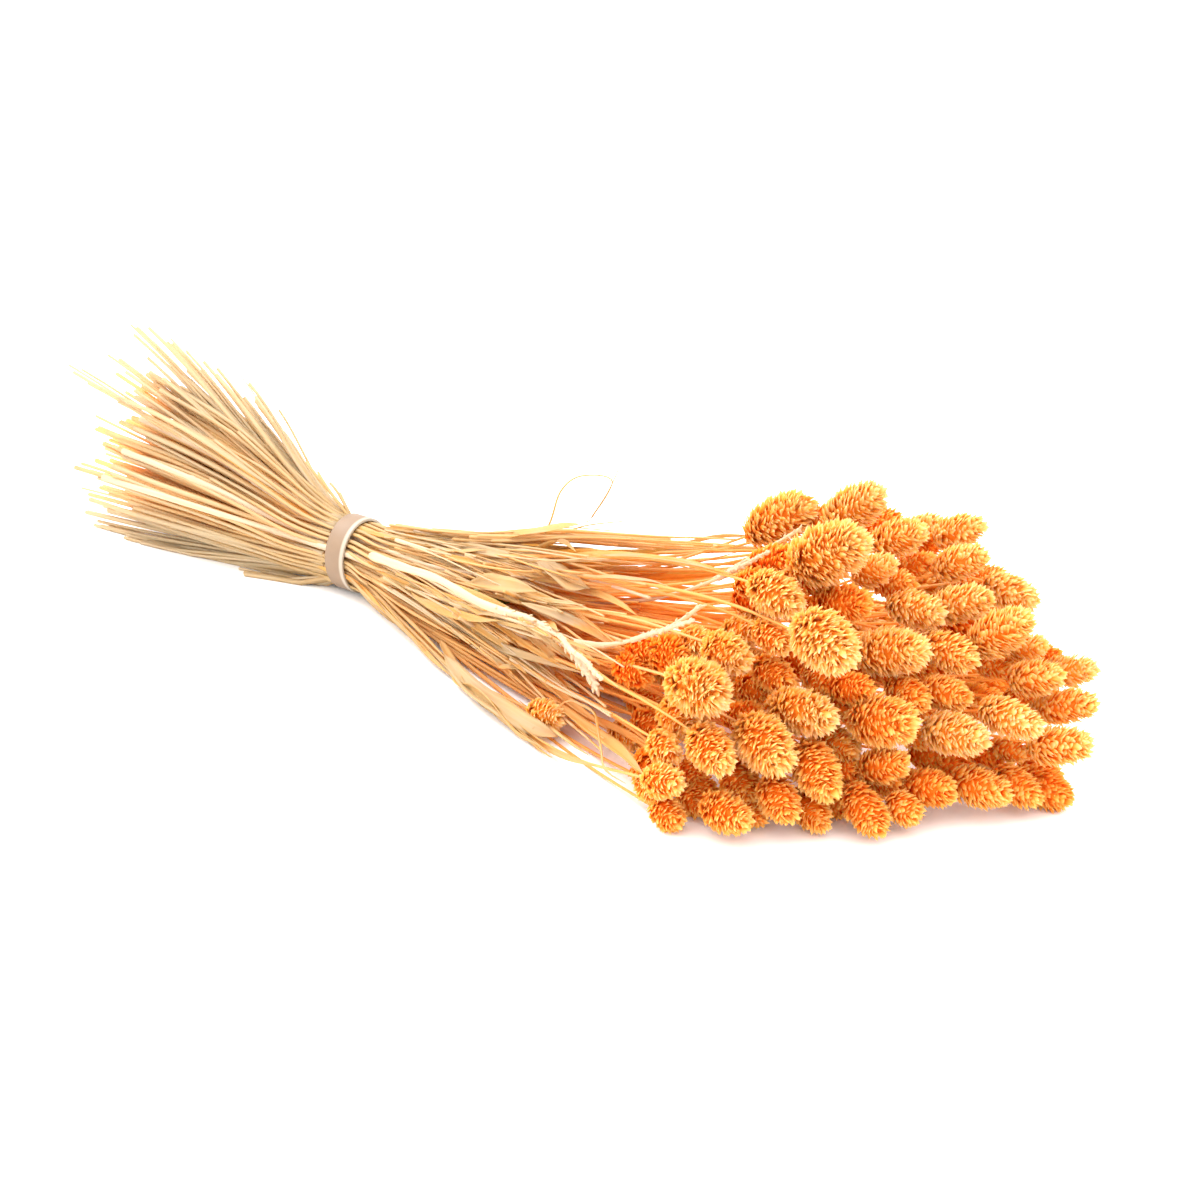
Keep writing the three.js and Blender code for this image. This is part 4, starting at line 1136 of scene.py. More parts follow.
def add_blade(skin, rows, tone, rng, seed, cup=0.25, slender=0.08):
    """A thin leaf through rows of middle, outward direction and width, with a folded
    middle, ribs and a slightly rippled edge."""
    shares, middle, normal, wide = (np.array(column) for column in zip(*rows))
    s = np.linspace(0, 1, BLADE_STEPS)
    at = np.interp(s, shares, np.arange(len(shares)))
    centre = curve_at(middle, at)
    out = unit_rows(curve_at(normal, at))
    width = np.interp(s, shares, wide)
    width = width * np.clip((1 - s) / 0.16, 0.03, 1) ** 0.7 * np.clip(s / slender, 0.2, 1)
    way = way_along(centre)
    across = unit_rows(np.cross(way, out))
    out = np.cross(across, way)
    above_floor = (0.6 * np.abs(across[:, 2]) + 0.4) * width + 0.3
    centre[:, 2] = np.maximum(centre[:, 2], above_floor)
    phase = rng.uniform(0, 6)
    length = np.linalg.norm(centre - centre[0], axis=1)
    top, bottom, grain = [], [], []
    for j in range(BLADE_ACROSS + 1):
        e = 2 * j / BLADE_ACROSS - 1
        ripple = 0.12 * width * abs(e) * np.sin(9 * s + 2 * e + phase)
        lift = cup * width * (abs(e) - 0.5) + ripple
        line = centre + (0.5 * e * width)[:, None] * across + lift[:, None] * out
        top.append(line + 0.5 * BLADE_THICK * out)
        bottom.append(line - 0.5 * BLADE_THICK * out)
        grain.append(np.stack([length, 0.5 * e * wide.max() + 0 * s, 0 * s + 9 * seed], 1))
    rings = np.stack(top + bottom[::-1], 1)
    share = np.append(np.repeat(s, rings.shape[1]), [0, 1])
    add_closed(skin, rings, np.stack(grain + grain[::-1], 1), share, tone)


def sheath_blade(plant, start, length, width, lift, rng):
    """Rows of a narrow leaf that parts from its stalk and lies along it."""
    path = plant["path"]
    rows = []
    tilt = rng.uniform(-0.5, 0.5)
    for k in range(8):
        s = k / 7
        x = min(start + length * s, path[-1][0] - 2)
        centre = smooth_path(path, np.array([x]))[0]
        middle, reach = bundle_at(paths, x)
        d = centre[1:] - middle
        angle = math.atan2(d[1], d[0]) + tilt * s
        normal = vec(0, *around(angle))
        centre = centre + (stem_radius(x, path[-1][0]) + 0.15 + lift * s ** 1.5) * normal
        rows.append((s, centre, normal, width * max(0.3, math.sin(math.pi * (0.15 + 0.8 * s)))))
    return rows


def pointed_rows(points, facings, wide):
    """Rows of a leaf that narrows towards both ends."""
    shares = [k / (len(points) - 1) for k in range(len(points))]
    return [(s, point, facing, wide * math.sin(math.pi * (0.12 + 0.8 * s)))
            for s, point, facing in zip(shares, points, facings)]


def between(rng, first, last, spill):
    """A path between two neighbouring stalks, or a little outside one of them."""
    while True:
        i = rng.integers(len(paths))
        near = np.argsort(np.hypot(*(slots - slots[i]).T))[1:7]
        j = rng.choice(near)
        end = min(last, paths[i][-1][0] - 6, paths[j][-1][0] - 6)
        if end > first + 25:
            break
    places = np.arange(first, end, STALK_STEP)
    share = np.linspace(*rng.uniform(0.0, 1.0, 2), len(places))[:, None]
    a, b = smooth_path(plants[i]["path"], places), smooth_path(plants[j]["path"], places)
    points = a * share + b * (1 - share)
    if rng.uniform() < spill:
        away = (a - b) / np.maximum(np.linalg.norm(a - b, axis=1), 1)[:, None]
        points = a + rng.uniform(0.6, 2.2) * away
    points[:, 1] = np.clip(points[:, 1], SIDE_LOW, SIDE_HIGH)
    points[:, 2] = np.maximum(points[:, 2], 1.6)
    return held(points)


def held(points, room=1.3):
    """The points, drawn together where the band holds them."""
    d = points[:, 1:] - BAND_MIDDLE
    limit = BAND_INNER - room + 0.5 * np.maximum(np.abs(points[:, 0]) - 9, 0)
    share = np.minimum(1, limit / np.maximum(np.hypot(d[:, 0], d[:, 1]), 1))
    return np.column_stack([points[:, 0], BAND_MIDDLE + d * share[:, None]])


def add_straw(skin, rng, seed):
    """A loose straw that has lost its head, thinner where the band presses it."""
    first = CUT_END - rng.uniform(-12, 16)
    points = between(rng, first, rng.uniform(-BAND_PASS + 6, 120), 0.15)
    wave = rng.uniform(-0.8, 0.8) * np.sin(points[:, 0] / rng.uniform(12, 25))
    points[:, 2] += wave * np.clip((-BAND_PASS - points[:, 0]) / 40, 0, 1)
    near_band = np.clip(1 - np.abs(points[:, 0]) / 60, 0, 1)
    radius = rng.uniform(0.7, 1.25) * (1 - 0.6 * near_band)
    radius *= np.clip((points[-1, 0] + 4 - points[:, 0]) / 30, 0.2, 1)
    add_tube(skin, points, radius, rng.uniform(0, 1), STRAW_SIDES, seed, HOLLOW)


def add_collar_straw(skin, angle, rng, seed):
    """A straw right under the band, which follows the outside of the bundle."""
    first, last = CUT_END + rng.uniform(0, 60), rng.uniform(30, 110)
    places = np.array([first, -45, -22, -9, 9, 22, 45, last])
    places = places[(places >= first) & (places <= last)]
    points = []
    for x in places:
        middle, reach = bundle_at(paths, max(x, -120))
        away = reach(angle) + (1.1 if abs(x) < 30 else 0.4)
        if abs(x) < 10:
            middle, away = BAND_MIDDLE, BAND_INNER - 0.75
        points.append(vec(x, *(middle + away * around(angle))))
    points = smooth_path(np.array(points), np.arange(first, last, 6.0))
    radius = 0.75 * np.clip((last + 3 - points[:, 0]) / 25, 0.3, 1)
    add_tube(skin, points, radius, rng.uniform(0, 0.6), STRAW_SIDES, seed, 2.0)


def add_strip(skin, rng, seed):
    """A loose papery strip between the stalks."""
    first = rng.uniform(CUT_END - 10, 150)
    points = between(rng, first, first + rng.uniform(40, 130), 0.15)
    turn = rng.uniform(0, 2 * math.pi)
    twist = rng.uniform(-1.2, 1.2)
    wide = rng.uniform(1.2, 3.4)
    rows = []
    for k, point in enumerate(points):
        s = k / (len(points) - 1)
        angle = turn + twist * s
        normal = vec(0, *around(angle))
        full = max(0.35, math.sin(math.pi * (0.1 + 0.85 * s))) * np.clip(abs(point[0]) / 30, 0.3, 1)
        rows.append((s, point, normal, wide * full))
    add_blade(skin, rows, rng.uniform(0, 1), rng, seed, cup=rng.uniform(0.1, 0.4))


def on_wall(places, at, side=1):
    """The points seen at places in view, on an upright wall along the bundle or across it."""
    rays = [sight_line(*place) for place in places]
    return np.array([EYE + ray * (at - EYE[side]) / ray[side] for ray in rays])


def on_bundle(places, lift):
    """A smooth run of points on the bundle's skin, seen at places in view and lifted off it."""
    depths = []
    for across, down in places:
        near = np.hypot(STALK_VIEW[:, 0] - across, STALK_VIEW[:, 1] - down)
        found = STALK_POINTS[near < max(5, near.min() + 2)]
        depths.append(((found - EYE) @ AHEAD).min())
    at = np.arange(len(depths))
    even = np.polyval(np.polyfit(at, depths, min(2, len(depths) - 2)), at)
    even -= 0.5 * max((even - depths).max(), 0)
    rays = np.array([sight_line(*place) for place in places])
    points = EYE + rays * ((even - STEM_RADIUS - lift) / (rays @ AHEAD))[:, None]
    points[:, 2] = np.maximum(points[:, 2], 1)
    return points


def add_seen_blade(skin, blade, rng, seed):
    """A leaf through places in view, on the outside of the bundle."""
    wide, tone, lift, places = blade
    facings = [-AHEAD + 0.5 * UP] * len(places)
    add_blade(skin, pointed_rows(on_bundle(places, lift), facings, wide), tone, rng, seed)


def add_curl(skin, curl, seed):
    """A fine dry thread through places in view, from the bundle out."""
    wall, thick, places = curl
    points = curve_through(on_wall(places, wall))
    add_tube(skin, points, thick * np.linspace(1, 0.4, len(points)), 0.5, THREAD_SIDES, seed)


def add_branch(skin, branch, seed, wall=None):
    """A pale stripped branch through places in view, on the outside of the bundle or on a wall."""
    thick, lift, bare, places = branch
    points = curve_through(on_bundle(places, lift) if wall is None else on_wall(places, wall))
    s = np.linspace(0, 1, len(points))
    radius = thick * (1 - 0.3 * s) * (1 + 0.12 * np.sin(37 * s) * np.sin(23 * s + 1))
    add_tube(skin, points, radius, PALE, STALK_SIDES, seed)
    way = way_along(points)
    length = np.linalg.norm(np.diff(points, axis=0), axis=1).sum()
    count = int(max(0, 1 - bare) * length / 1.6)
    for k in range(count):
        t = bare + (1 - bare) * (k + 0.5) / count
        i = min(int(t * (len(points) - 1)), len(points) - 2)
        side, up = crosswise(way[i])
        angle = GOLDEN * k
        line = unit(math.cos(angle) * side + math.sin(angle) * up + 1.3 * way[i])
        foot = points[i] + (t * (len(points) - 1) - i) * (points[i + 1] - points[i])
        stub = foot + vec(0.2, 0.6, 0.85, 1.1)[:, None] * (1.5 * thick + 0.6) * line
        add_tube(skin, stub, thick * vec(0.5, 0.45, 0.3, 0.08), PALE, THREAD_SIDES, seed + k)


def add_strand(skin, rng, seed, wide=0):
    """A fine strand, or a narrow leaf, that lies across the outside of the bundle."""
    start = rng.uniform(-0.02, 0.6)
    t = np.linspace(start, min(start + rng.uniform(0.25, 0.7), 1.05), 6)
    u = np.linspace(rng.uniform(0, 1), rng.uniform(-0.35, 0.35), 6)
    u = np.clip(u[0] + (t - start) * u[-1] + 0.02 * np.sin(9 * t + seed), 0.02, 0.98)
    top_a, top_b, low_a, low_b = (np.array(place, float) for place in BUNDLE_VIEW)
    t, u = t[:, None], u[:, None]
    bow = vec(0, 30) * (t * (1 - t))
    places = (1 - u) * (top_a + t * (top_b - top_a)) + u * (low_a + t * (low_b - low_a) - bow)
    points = on_bundle(places, rng.uniform(0.2, 2))
    if wide:
        facings = [-AHEAD + rng.uniform(-0.3, 0.8) * UP for point in points]
        add_blade(skin, pointed_rows(points, facings, wide), rng.uniform(0, 0.8), rng, seed)
    else:
        points = curve_through(points)
        radius = rng.uniform(0.35, 0.7) * np.linspace(1, 0.7, len(points))
        add_tube(skin, points, radius, rng.uniform(-1.3, 0.8), THREAD_SIDES, seed)


def add_wisp(skin, wisp, rng, seed):
    """A loose straw from under the band to a place in view."""
    wall, thick, place = wisp
    tip = on_wall([place], wall)[0]
    if tip[0] < FAR_LOW:
        tip = on_wall([place], FAR_LOW, 0)[0]
    turn = math.atan2(tip[2] - BAND_HEIGHT, tip[1])
    foot = vec(-6, *(BAND_MIDDLE + (BAND_INNER - 1.4) * around(turn)))
    way = tip - foot
    s = np.linspace(0, 1, 12)[:, None]
    reach = np.linalg.norm(way)
    start = way if reach < 60 else vec(-0.8 * reach, 0, 0) + 0.3 * way
    points = hermite(s, foot, start, tip, 1.1 * way + rng.uniform(-4, 4, 3))
    points[:, 2] = np.maximum(points[:, 2], 1)
    radius = thick * np.linspace(1.3, 1, len(points))
    add_tube(skin, points, radius, rng.uniform(-0.6, 0.7), STRAW_SIDES, seed, 1.5)


def add_top_straw(skin, rng, seed):
    """A straw along the top of the bundle."""
    first = rng.uniform(0, 0.6)
    t = np.linspace(first, min(first + rng.uniform(0.25, 0.6), 1), 6)
    knots = np.array(TOP_EDGE, float)
    at = np.linspace(0, 1, len(knots))
    down = TOP_DEEP * (rng.uniform(0, 1) + rng.uniform(-0.7, 0.9) * (t - first))
    down += rng.uniform(-1.6, 1.6) * np.sin(rng.uniform(8, 16) * t + seed)
    wall = rng.uniform(-4, 12)
    places = np.column_stack([np.interp(t, at, knots[:, 0]), np.interp(t, at, knots[:, 1]) + down])
    points = curve_through(on_wall(places, wall))
    thick = rng.uniform(0.35, 0.8) * np.linspace(1, 0.5, len(points))
    add_tube(skin, points, thick, rng.uniform(0, 0.8), STRAW_SIDES, seed)


# Materials
# Painted shade inside the bundle: the saturated orange of shade between the stalks, at the cut end and
# among the heads
INNER_SHADE_CUT = (1.0, 0.66, 0.26)
INNER_SHADE_HEADS = (1.0, 0.50, 0.09)
SCALE_RAMP = ((0.0, (1.0, 0.26, 0.012)), (0.25, (1.0, 0.47, 0.055)), (0.5, (1.0, 0.65, 0.16)),
              (0.75, (1.0, 0.74, 0.28)), (1.0, (1.0, 0.77, 0.43)))
STRAW_RAMP = ((0.0, (0.66, 0.56, 0.38)), (0.12, (0.62, 0.48, 0.28)), (0.4, (0.72, 0.53, 0.27)),
              (0.75, (0.86, 0.58, 0.25)), (1.0, (0.98, 0.54, 0.15)))
LEAF_RAMP = ((0.0, (0.68, 0.57, 0.38)), (0.4, (0.74, 0.57, 0.28)), (0.75, (0.86, 0.56, 0.18)),
             (1.0, (0.98, 0.46, 0.07)))
# Painted highlight: a pale rim along the band's edge towards the heads
HIGHLIGHT_RIM_RAMP = ((0.0, (0, 0, 0)), (0.78, (0, 0, 0)), (0.86, (1, 1, 1)), (1.0, (1, 1, 1)))
FIBRE_SHADE = (0.80, 0.46, 0.14)
RIB_SHADE = (0.62, 0.28, 0.06)
BARE_SHADES = ((0.95, 0.83, 0.66), (0.72, 0.52, 0.30))
OLIVE_SHADES = ((0.09, 0.12, 0.01), (0.26, 0.24, 0.04))
BAND_SHADES = ((0.17, 0.10, 0.055), (0.24, 0.15, 0.085))
# The pale colour of the band's painted highlight
HIGHLIGHT_RIM_SHADE = (0.40, 0.34, 0.26)
FLOOR_SHADE = (0.95, 0.95, 0.95)
THIN_SCALE = (0.45, (1.0, 0.92, 0.66))
THIN_STRAW = (0.5, (1.0, 0.93, 0.7))


def node(tree, kind, links=(), **settings):
    """A node with its settings, and its inputs set to values or fed by sockets."""
    made = tree.nodes.new(kind)
    for key, value in settings.items():
        setattr(made, key, value)
    for key, value in dict(links).items():
        if isinstance(value, bpy.types.NodeSocket):
            tree.links.new(value, made.inputs[key])
        else:
            made.inputs[key].default_value = value
    return made


def attribute(tree, name, socket="Fac"):
    return node(tree, "ShaderNodeAttribute", attribute_name=name).outputs[socket]


def maths(tree, operation, a, b, c=0.0, clamp=False):
    made = node(tree, "ShaderNodeMath", {0: a, 1: b, 2: c}, operation=operation, use_clamp=clamp)
    return made.outputs[0]


def ramp(tree, value, stops):
    made = node(tree, "ShaderNodeValToRGB", {0: value})
    points = made.color_ramp.elements
    while len(points) < len(stops):
        points.new(0.5)
    for point, (at, colour) in zip(points, stops):
        point.position = at
        point.color = (*colour, 1)
    return made.outputs[0]


def mix(tree, share, a, b, blend="MIX"):
    a, b = (v if isinstance(v, bpy.types.NodeSocket) else (*v, 1) for v in (a, b))
    return node(tree, "ShaderNodeMix", {0: share, 6: a, 7: b}, data_type="RGBA",
                blend_type=blend).outputs[2]


def noise(tree, place, scale, detail, **more):
    links = {"Vector": place, "Scale": scale, "Detail": detail, **more}
    return node(tree, "ShaderNodeTexNoise", links).outputs[0]


def streaks(tree, along, across, detail=3.0):
    """Noise that runs in streaks along the fibres."""
    place = node(tree, "ShaderNodeVectorMath",
                 {0: attribute(tree, "grain", "Vector"), 1: (along, across, across)},
                 operation="MULTIPLY").outputs[0]
    return noise(tree, place, 1.0, detail, Roughness=0.6)


def own_place(tree):
    return node(tree, "ShaderNodeTexCoord").outputs["Object"]


def along_bundle(tree):
    """0 at the cut ends and 1 among the heads."""
    place = node(tree, "ShaderNodeSeparateXYZ", {0: own_place(tree)}).outputs[0]
    ends = {1: ORIGIN[0] - 0.10, 2: ORIGIN[0] + 0.22, 3: 0.0, 4: 1.0}
    return node(tree, "ShaderNodeMapRange", {0: place, **ends}).outputs[0]


def painted_inner_shade(tree, colour, amount):
    """Painted shade: the more orange colour of what lies inside the bundle, between the stalks."""
    inner = mix(tree, along_bundle(tree), INNER_SHADE_CUT, INNER_SHADE_HEADS)
    share = maths(tree, "MULTIPLY", attribute(tree, "deep"), amount, clamp=True)
    return mix(tree, share, colour, inner)


def material(name, paint, roughness, relief, specular=0.5, thin=None):
    """A material with the colour and relief that paint gives. Relief is a strength and a
    depth in metres; thin is the share of the light that passes through, and its tint."""
    made = bpy.data.materials.new(name)
    made.use_nodes = True
    tree = made.node_tree
    shader = tree.nodes["Principled BSDF"]
    shader.inputs["Roughness"].default_value = roughness
    shader.inputs["Specular IOR Level"].default_value = specular
    colour, height = paint(tree)
    tree.links.new(colour, shader.inputs["Base Color"])
    bump = node(tree, "ShaderNodeBump", {"Height": height, "Strength": relief[0],
                                         "Distance": relief[1]})
    tree.links.new(bump.outputs[0], shader.inputs["Normal"])
    if thin:
        share, tint = thin
        tinted = mix(tree, 1.0, colour, tint, "MULTIPLY")
        through = node(tree, "ShaderNodeBsdfTranslucent", {"Color": tinted}).outputs[0]
        both = node(tree, "ShaderNodeMixShader", {0: share, 1: shader.outputs[0], 2: through})
        tree.links.new(both.outputs[0], tree.nodes["Material Output"].inputs["Surface"])
    return made


def paint_scales(tree):
    """Deep orange at the root and pale at the tip."""
    streak = streaks(tree, 0.35, 3.2)
    place = maths(tree, "MULTIPLY_ADD", streak, 0.3, attribute(tree, "share"))
    # The tone is lowered as painted shade where a head lies under others or deep inside the bunch
    place = maths(tree, "MULTIPLY_ADD", attribute(tree, "tone"), 0.22, place)
    return ramp(tree, maths(tree, "SUBTRACT", place, 0.22), SCALE_RAMP), streak


def paint_straw(tree):
    """Straw-coloured at the cut ends, more orange towards the heads."""
    streak = streaks(tree, 0.03, 1.4)
    blotch = streaks(tree, 0.05, 0.12, 2.0)
    share = maths(tree, "MULTIPLY_ADD", attribute(tree, "tone"), 0.4, along_bundle(tree))
    share = maths(tree, "MULTIPLY_ADD", blotch, 0.5, share)
    # Stalks inside the bundle are painted the orange of shade
    colour = painted_inner_shade(tree, ramp(tree, maths(tree, "SUBTRACT", share, 0.45), STRAW_RAMP), 2.4)
    colour = mix(tree, maths(tree, "MULTIPLY", streak, 0.45), colour, FIBRE_SHADE)
    bare = maths(tree, "MULTIPLY", attribute(tree, "tone"), -0.5, clamp=True)
    return mix(tree, bare, colour, mix(tree, streak, *BARE_SHADES)), streak


def paint_leaf(tree):
    """Pale, with fine ribs along it."""
    ribs = streaks(tree, 0.02, 3.0)
    blotch = streaks(tree, 0.04, 0.2)
    share = maths(tree, "MULTIPLY_ADD", attribute(tree, "tone"), 0.7, blotch)
    # Leaves inside the bundle are painted the orange of shade
    colour = painted_inner_shade(tree, ramp(tree, maths(tree, "SUBTRACT", share, 0.35), LEAF_RAMP), 2.6)
    return mix(tree, maths(tree, "MULTIPLY", ribs, 0.4), colour, RIB_SHADE), ribs


def paint_olive(tree):
    """Still olive green, with fine ribs."""
    ribs = streaks(tree, 0.05, 3.0)
    return mix(tree, ribs, *OLIVE_SHADES), ribs


def paint_band(tree):
    """Beige with a fine grain, and a pale rim towards the heads: a painted highlight on that edge."""
    place = own_place(tree)
    colour = mix(tree, noise(tree, place, 90.0, 3.0), *BAND_SHADES)
    highlight_rim = maths(tree, "MULTIPLY", ramp(tree, attribute(tree, "share"), HIGHLIGHT_RIM_RAMP), 0.85)
    return mix(tree, highlight_rim, colour, HIGHLIGHT_RIM_SHADE), noise(tree, place, 900.0, 4.0)


SCALES = material("dried_scales", paint_scales, 0.6, (0.25, 0.0003), 0.25, THIN_SCALE)
STRAW = material("dried_straw", paint_straw, 0.45, (0.25, 0.0002), 0.3, THIN_STRAW)
LEAF = material("dried_leaf", paint_leaf, 0.5, (0.5, 0.0002), 0.3, THIN_STRAW)
OLIVE = material("olive_leaf", paint_olive, 0.5, (0.4, 0.0002))
RUBBER = material("band_rubber", paint_band, 0.55, (0.3, 0.0001))

# Which solid stands for each plant
nodes = sorted(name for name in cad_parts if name.startswith("stems_"))
corners = [(v.co, name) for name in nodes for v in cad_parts[name].data.vertices]
finder = KDTree(len(corners))
for k, (co, name) in enumerate(corners):
    finder.insert(co, k)
finder.balance()
for plant in plants:
    reach = 1 if plant["stripped"] else HEAD_TIP
    tip = plant["middle"] + reach * plant["half"] * plant["axis"]
    co, k, distance = finder.find(Vector(tip * MM + ORIGIN))
    plant["node"] = corners[k][1]
    if distance > TIP_MISS * MM:
        raise ValueError(f"no solid ends at {tip}: {distance}")

rng = np.random.default_rng(SEED)
for name in nodes:
    number = name[-2:]
    stalks, heads = Skin(), Skin()
    for seed, plant in enumerate(plants):
        if plant["node"] != name:
            continue
        add_stalk(stalks, plant, rng, seed)
        if plant["stripped"]:
            add_rachis(stalks, plant, rng, seed)
        else:
            # Heads under others get a lower tone, a deeper orange: painted shade
            add_head(heads, plant, rng.uniform(*HEAD_TONES) - PAINTED_SHADE_DEPTH * painted_shade_under_heads(plant), rng)
    stalks.build(f"stalks_{number}", STRAW, [name])
    if heads.count:
        heads.build(f"heads_{number}", SCALES, [name], "dried_grass", False)


# Small heads deeper in the bunch, where the others leave a gap

def covered(middle, axis, radius, half):
    """The cells of the view that a head hides."""
    spots = middle + vec(-0.5, 0, 0.5)[:, None] * (half - radius) * 1.3 * axis
    across, down = project(spots)
    scale = VIEW_FOCAL / ((spots - EYE) @ AHEAD)
    d = np.hypot(GAP_ACROSS[..., None] - across, GAP_DOWN[..., None] - down)
    return (d < FILL_REACH * radius * scale).any(2)


def grown(cells, reach):
    """The cells and those within reach of them."""
    full = np.pad(cells, reach)
    found = np.zeros(cells.shape, bool)
    rows, columns = cells.shape
    for i in range(-reach, reach + 1):
        for j in range(-reach, reach + 1):
            if i * i + j * j <= reach * reach:
                found |= full[reach + i:reach + i + rows, reach + j:reach + j + columns]
    return found


def fill_heads():
    """Heads that cover what shows between the others, each with a place in the band."""
    middles = np.array([plant["middle"] for plant in plants])
    radii = np.array([plant["radius"] for plant in plants])
    hidden = np.zeros(GAP_ACROSS.shape, bool)
    for plant in plants:
        hidden |= covered(plant["middle"], plant["axis"], plant["radius"], plant["half"])
    inside = ~grown(~grown(hidden, FILL_CLOSE), FILL_CLOSE)
    found = []
    for attempt in range(FILL_TRIES):
        i = rng.integers(len(plants))
        near = np.argsort(np.linalg.norm(middles[:len(plants)] - middles[i], axis=1))[1:9]
        share = rng.dirichlet((1, 1, 1))
        j, k = rng.choice(near, 2, replace=False)
        middle = share[0] * middles[i] + share[1] * middles[j] + share[2] * middles[k]
        radius = rng.uniform(*FILL_RADII)
        middle = middle + rng.uniform(*FILL_BACK) * AHEAD
        middle[1] = min(middle[1], SIDE_HIGH - 1.3 * radius)
        middle[2] = max(middle[2], radius)
        half = radius * rng.uniform(1.4, 1.8)
        gap = np.linalg.norm(middles - middle, axis=1) - FILL_OVERLAP * (radii + radius)
        if gap.min() < 0 or middle[0] < FILL_FIRST:
            continue
        across, down = project(middle)
        if across < FILL_LEFT - 0.6 * (down - 640):
            continue
        axis = rest_axis(middle)
        new = covered(middle, axis, radius, half)
        if (new & ~hidden).sum() < FILL_GAIN * new.sum() or (new & ~inside).sum() > 2:
            continue
        hidden |= new
        found.append((dict(middle=middle, axis=axis, radius=radius, half=half, stripped=False,
                           stray=False), 0.5 * (slots[i] + slots[j])))
        middles = np.vstack([middles, middle])
        radii = np.append(radii, radius)
    return found


inner_heads, inner_stalks = Skin(), Skin()
inner_draw = seeded(SEED + 9)
for k, (plant, slot) in enumerate(fill_heads()):
    plant["path"] = stem_path(plant, slot, inner_draw)
    add_stalk(inner_stalks, plant, rng, INNER_SEED + k)
    # Heads inside the bunch get low tones, a deeper orange: painted shade
    add_head(inner_heads, plant, rng.uniform(*INNER_SHADED_TONES), rng)
inner_heads.build("inner_heads", SCALES, slot="dried_grass", smooth=False)
inner_stalks.build("inner_stalks", STRAW)

# Papery leaves
for k, leaf in enumerate(LEAVES, 1):
    owner, rows = leaf_rows(leaf, paths)
    arched = k in ARCHED
    if arched:
        rows = [(*row[:3], ARCHED_WIDE * row[3]) for row in rows]
    skin = Skin()
    add_blade(skin, rows, rng.uniform(0, 0.7), rng, k, slender=0.55 if arched else 0.3)
    skin.build(f"leaf_{k:02d}", LEAF, [plants[owner]["node"]])

sheaths = Skin()
for k in range(SHEATHS):
    start, length, at = rng.uniform(-30, 150), rng.uniform(35, 80), rng.uniform(-70, 250)
    i = leaf_owner(start, start + length, at, paths)
    if i >= 0:
        rows = sheath_blade(plants[i], start, length, rng.uniform(1.8, 4), rng.uniform(0.3, 2.5), rng)
        add_blade(sheaths, rows, rng.uniform(0, 1), rng, SHEATH_SEED + k)
sheaths.build("sheaths", LEAF)


# Loose parts

def scatter(name, material, parts):
    """One piece of many parts, each added to its skin in turn."""
    skin = Skin()
    for add, *given in parts:
        add(skin, *given)
    skin.build(name, material)


def wisps():
    """The loose straws at the cut end, and three more beside each of those on the left."""
    for k, wisp in enumerate(CUT_WISPS):
        wall, thick, place = wisp
        seed = WISP_SEED + WISP_SEED_STEP * k
        yield add_wisp, wisp, rng, seed
        for again in range(MORE_WISPS if place[0] < WISPS_LEFT else 0):
            nearby = (place[0] + rng.uniform(-4, 20), place[1] + rng.uniform(2, 26))
            another = (wall + rng.uniform(-5, 5), rng.uniform(0.5, 1), nearby)
            yield add_wisp, another, rng, seed + 1 + again


def straws():
    """Loose straws between the stalks, and a ring of them right under the band."""
    for k in range(STRAWS):
        yield add_straw, rng, STRAW_SEED + k
    for k in range(COLLAR_STRAWS):
        angle = 2 * math.pi * (k + rng.uniform(0, 0.6)) / COLLAR_STRAWS
        yield add_collar_straw, angle, rng, COLLAR_SEED + k


def branches():
    """Pale branches on the bundle, one that rises out of it, and the straws along its top."""
    for k, branch in enumerate(BRANCHES):
        yield add_branch, branch, BRANCH_SEED + BRANCH_SEED_STEP * k
    yield add_branch, RISING_BRANCH, RISING_SEED, RISING_WALL
    for k in range(TOP_STRAWS):
        yield add_top_straw, rng, TOP_SEED + k


STALK_POINTS = np.concatenate([smooth_path(plant["path"], np.arange(-110, plant["path"][-1][0], 2.0))
                               for plant in plants])
STALK_VIEW = np.stack(project(STALK_POINTS), 1)
scatter("outer_leaves", LEAF,
        ((add_seen_blade, blade, rng, BLADE_SEED + k) for k, blade in enumerate(SEEN_BLADES)))
scatter("olive_leaf", OLIVE, [(add_seen_blade, GREEN_BLADE, rng, OLIVE_SEED)])
scatter("loose_straws", STRAW, straws())
scatter("cut_wisps", STRAW, wisps())
scatter("fine_strands", STRAW, ((add_strand, rng, STRAND_SEED + k) for k in range(STRANDS)))
scatter("narrow_leaves", LEAF,
        ((add_strand, rng, NARROW_SEED + k, rng.uniform(*NARROW_WIDE)) for k in range(NARROW_LEAVES)))
scatter("papery_strips", LEAF, ((add_strip, rng, STRIP_SEED + k) for k in range(STRIPS)))
scatter("pale_branches", STRAW, branches())
scatter("curls", LEAF, ((add_curl, curl, CURL_SEED + k) for k, curl in enumerate(CURLS)))

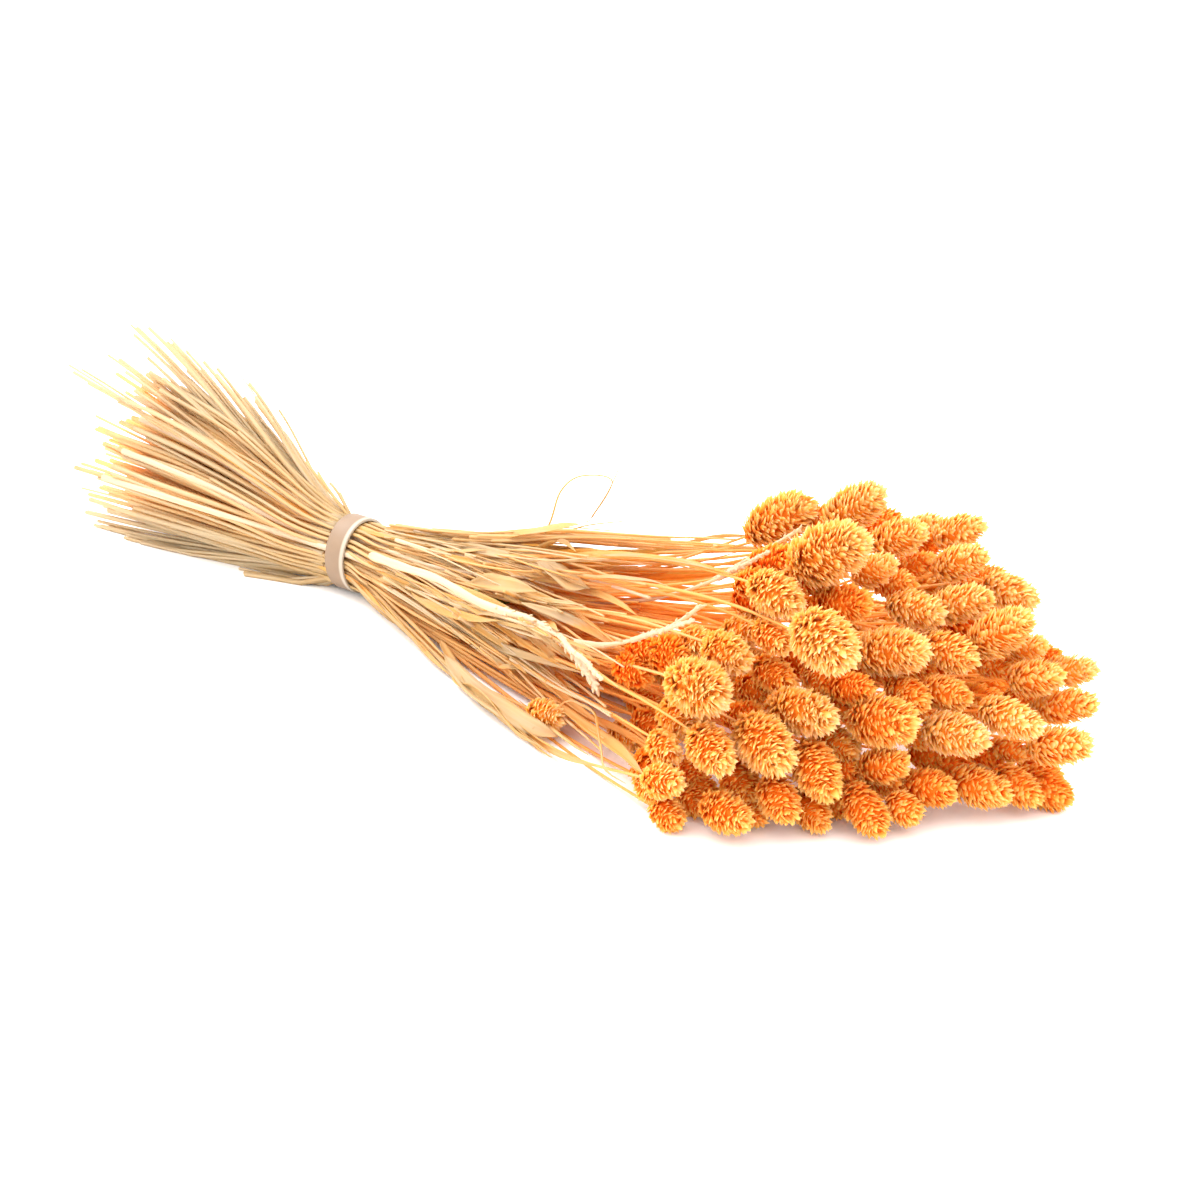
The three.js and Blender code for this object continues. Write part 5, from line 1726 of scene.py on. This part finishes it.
# The band, a rounded rectangle swept round the bundle
section = []
for out, along, quarter in ((0, -1, 180), (1, -1, 270), (1, 1, 0), (0, 1, 90)):
    for turn in (0, 30, 60, 90):
        corner = BAND_CORNER * around(math.radians(quarter + turn))
        section.append((BAND_INNER + BAND_CORNER + out * (BAND_THICK - 2 * BAND_CORNER) + corner[0],
                        along * (0.5 * BAND_WIDTH - BAND_CORNER) + corner[1]))
out, along = np.array(section).T
angle = 2 * math.pi * np.arange(BAND_SIDES)[:, None] / BAND_SIDES
across = out * np.cos(angle)
rings = np.stack([along + math.tan(math.radians(BAND_LEAN)) * across, across,
                  out * np.sin(angle) + BAND_HEIGHT], 2).reshape(-1, 3)
faces = ring_faces(BAND_SIDES + 1, len(section)) % len(rings)
band = Skin()
band.add(rings, faces, np.tile(along / BAND_WIDTH + 0.5, BAND_SIDES), 0, rings)
band.build("elastic_band", RUBBER, ["band"], "band_rubber")

# Floor, light and camera
FLOOR_SIZE = 8
FLOOR_ROUGHNESS = 0.9
ROOM_LIGHT = 2.6
KEY_LIGHT = 19
KEY_SIZE = 0.9
KEY_PLACE = (-0.7, 0.55, 1.15)
KEY_TARGET = (0.08, 0, 0.03)
SENSOR = 36

scene = bpy.context.scene
scene.view_settings.view_transform = "Standard"
bpy.ops.mesh.primitive_plane_add(size=FLOOR_SIZE, location=(ORIGIN[0], ORIGIN[1], 0))
floor = bpy.context.object
floor.name = "floor"
ground = bpy.data.materials.new("pale_floor")
ground.use_nodes = True
ground_inputs = ground.node_tree.nodes["Principled BSDF"].inputs
ground_inputs["Base Color"].default_value = (*FLOOR_SHADE, 1)
ground_inputs["Roughness"].default_value = FLOOR_ROUGHNESS
floor.data.materials.append(ground)

world = bpy.data.worlds.new("studio")
scene.world = world
world.use_nodes = True
background = world.node_tree.nodes["Background"].inputs
background["Color"].default_value = (1, 1, 1, 1)
background["Strength"].default_value = ROOM_LIGHT

target = Vector(ORIGIN + vec(*KEY_TARGET))
ahead_flat = unit(vec(AHEAD[0], AHEAD[1], 0))
key = bpy.data.lights.new("key", "AREA")
key.shape = "DISK"
key.size = KEY_SIZE
key.energy = KEY_LIGHT
lamp = bpy.data.objects.new("key", key)
scene.collection.objects.link(lamp)
lamp.location = target + Vector(KEY_PLACE[0] * RIGHT + KEY_PLACE[1] * ahead_flat + vec(0, 0, KEY_PLACE[2]))
lamp.rotation_euler = (target - lamp.location).to_track_quat("-Z", "Y").to_euler()

lens = bpy.data.cameras.new("camera")
lens.sensor_width = SENSOR
lens.lens = SENSOR * VIEW_FOCAL / (2 * VIEW_CENTRE)
camera = bpy.data.objects.new("camera", lens)
scene.collection.objects.link(camera)
camera.location = Vector(EYE * MM + ORIGIN)
camera.rotation_euler = Vector(AHEAD).to_track_quat("-Z", "Y").to_euler()
scene.camera = camera

bpy.context.view_layer.update()
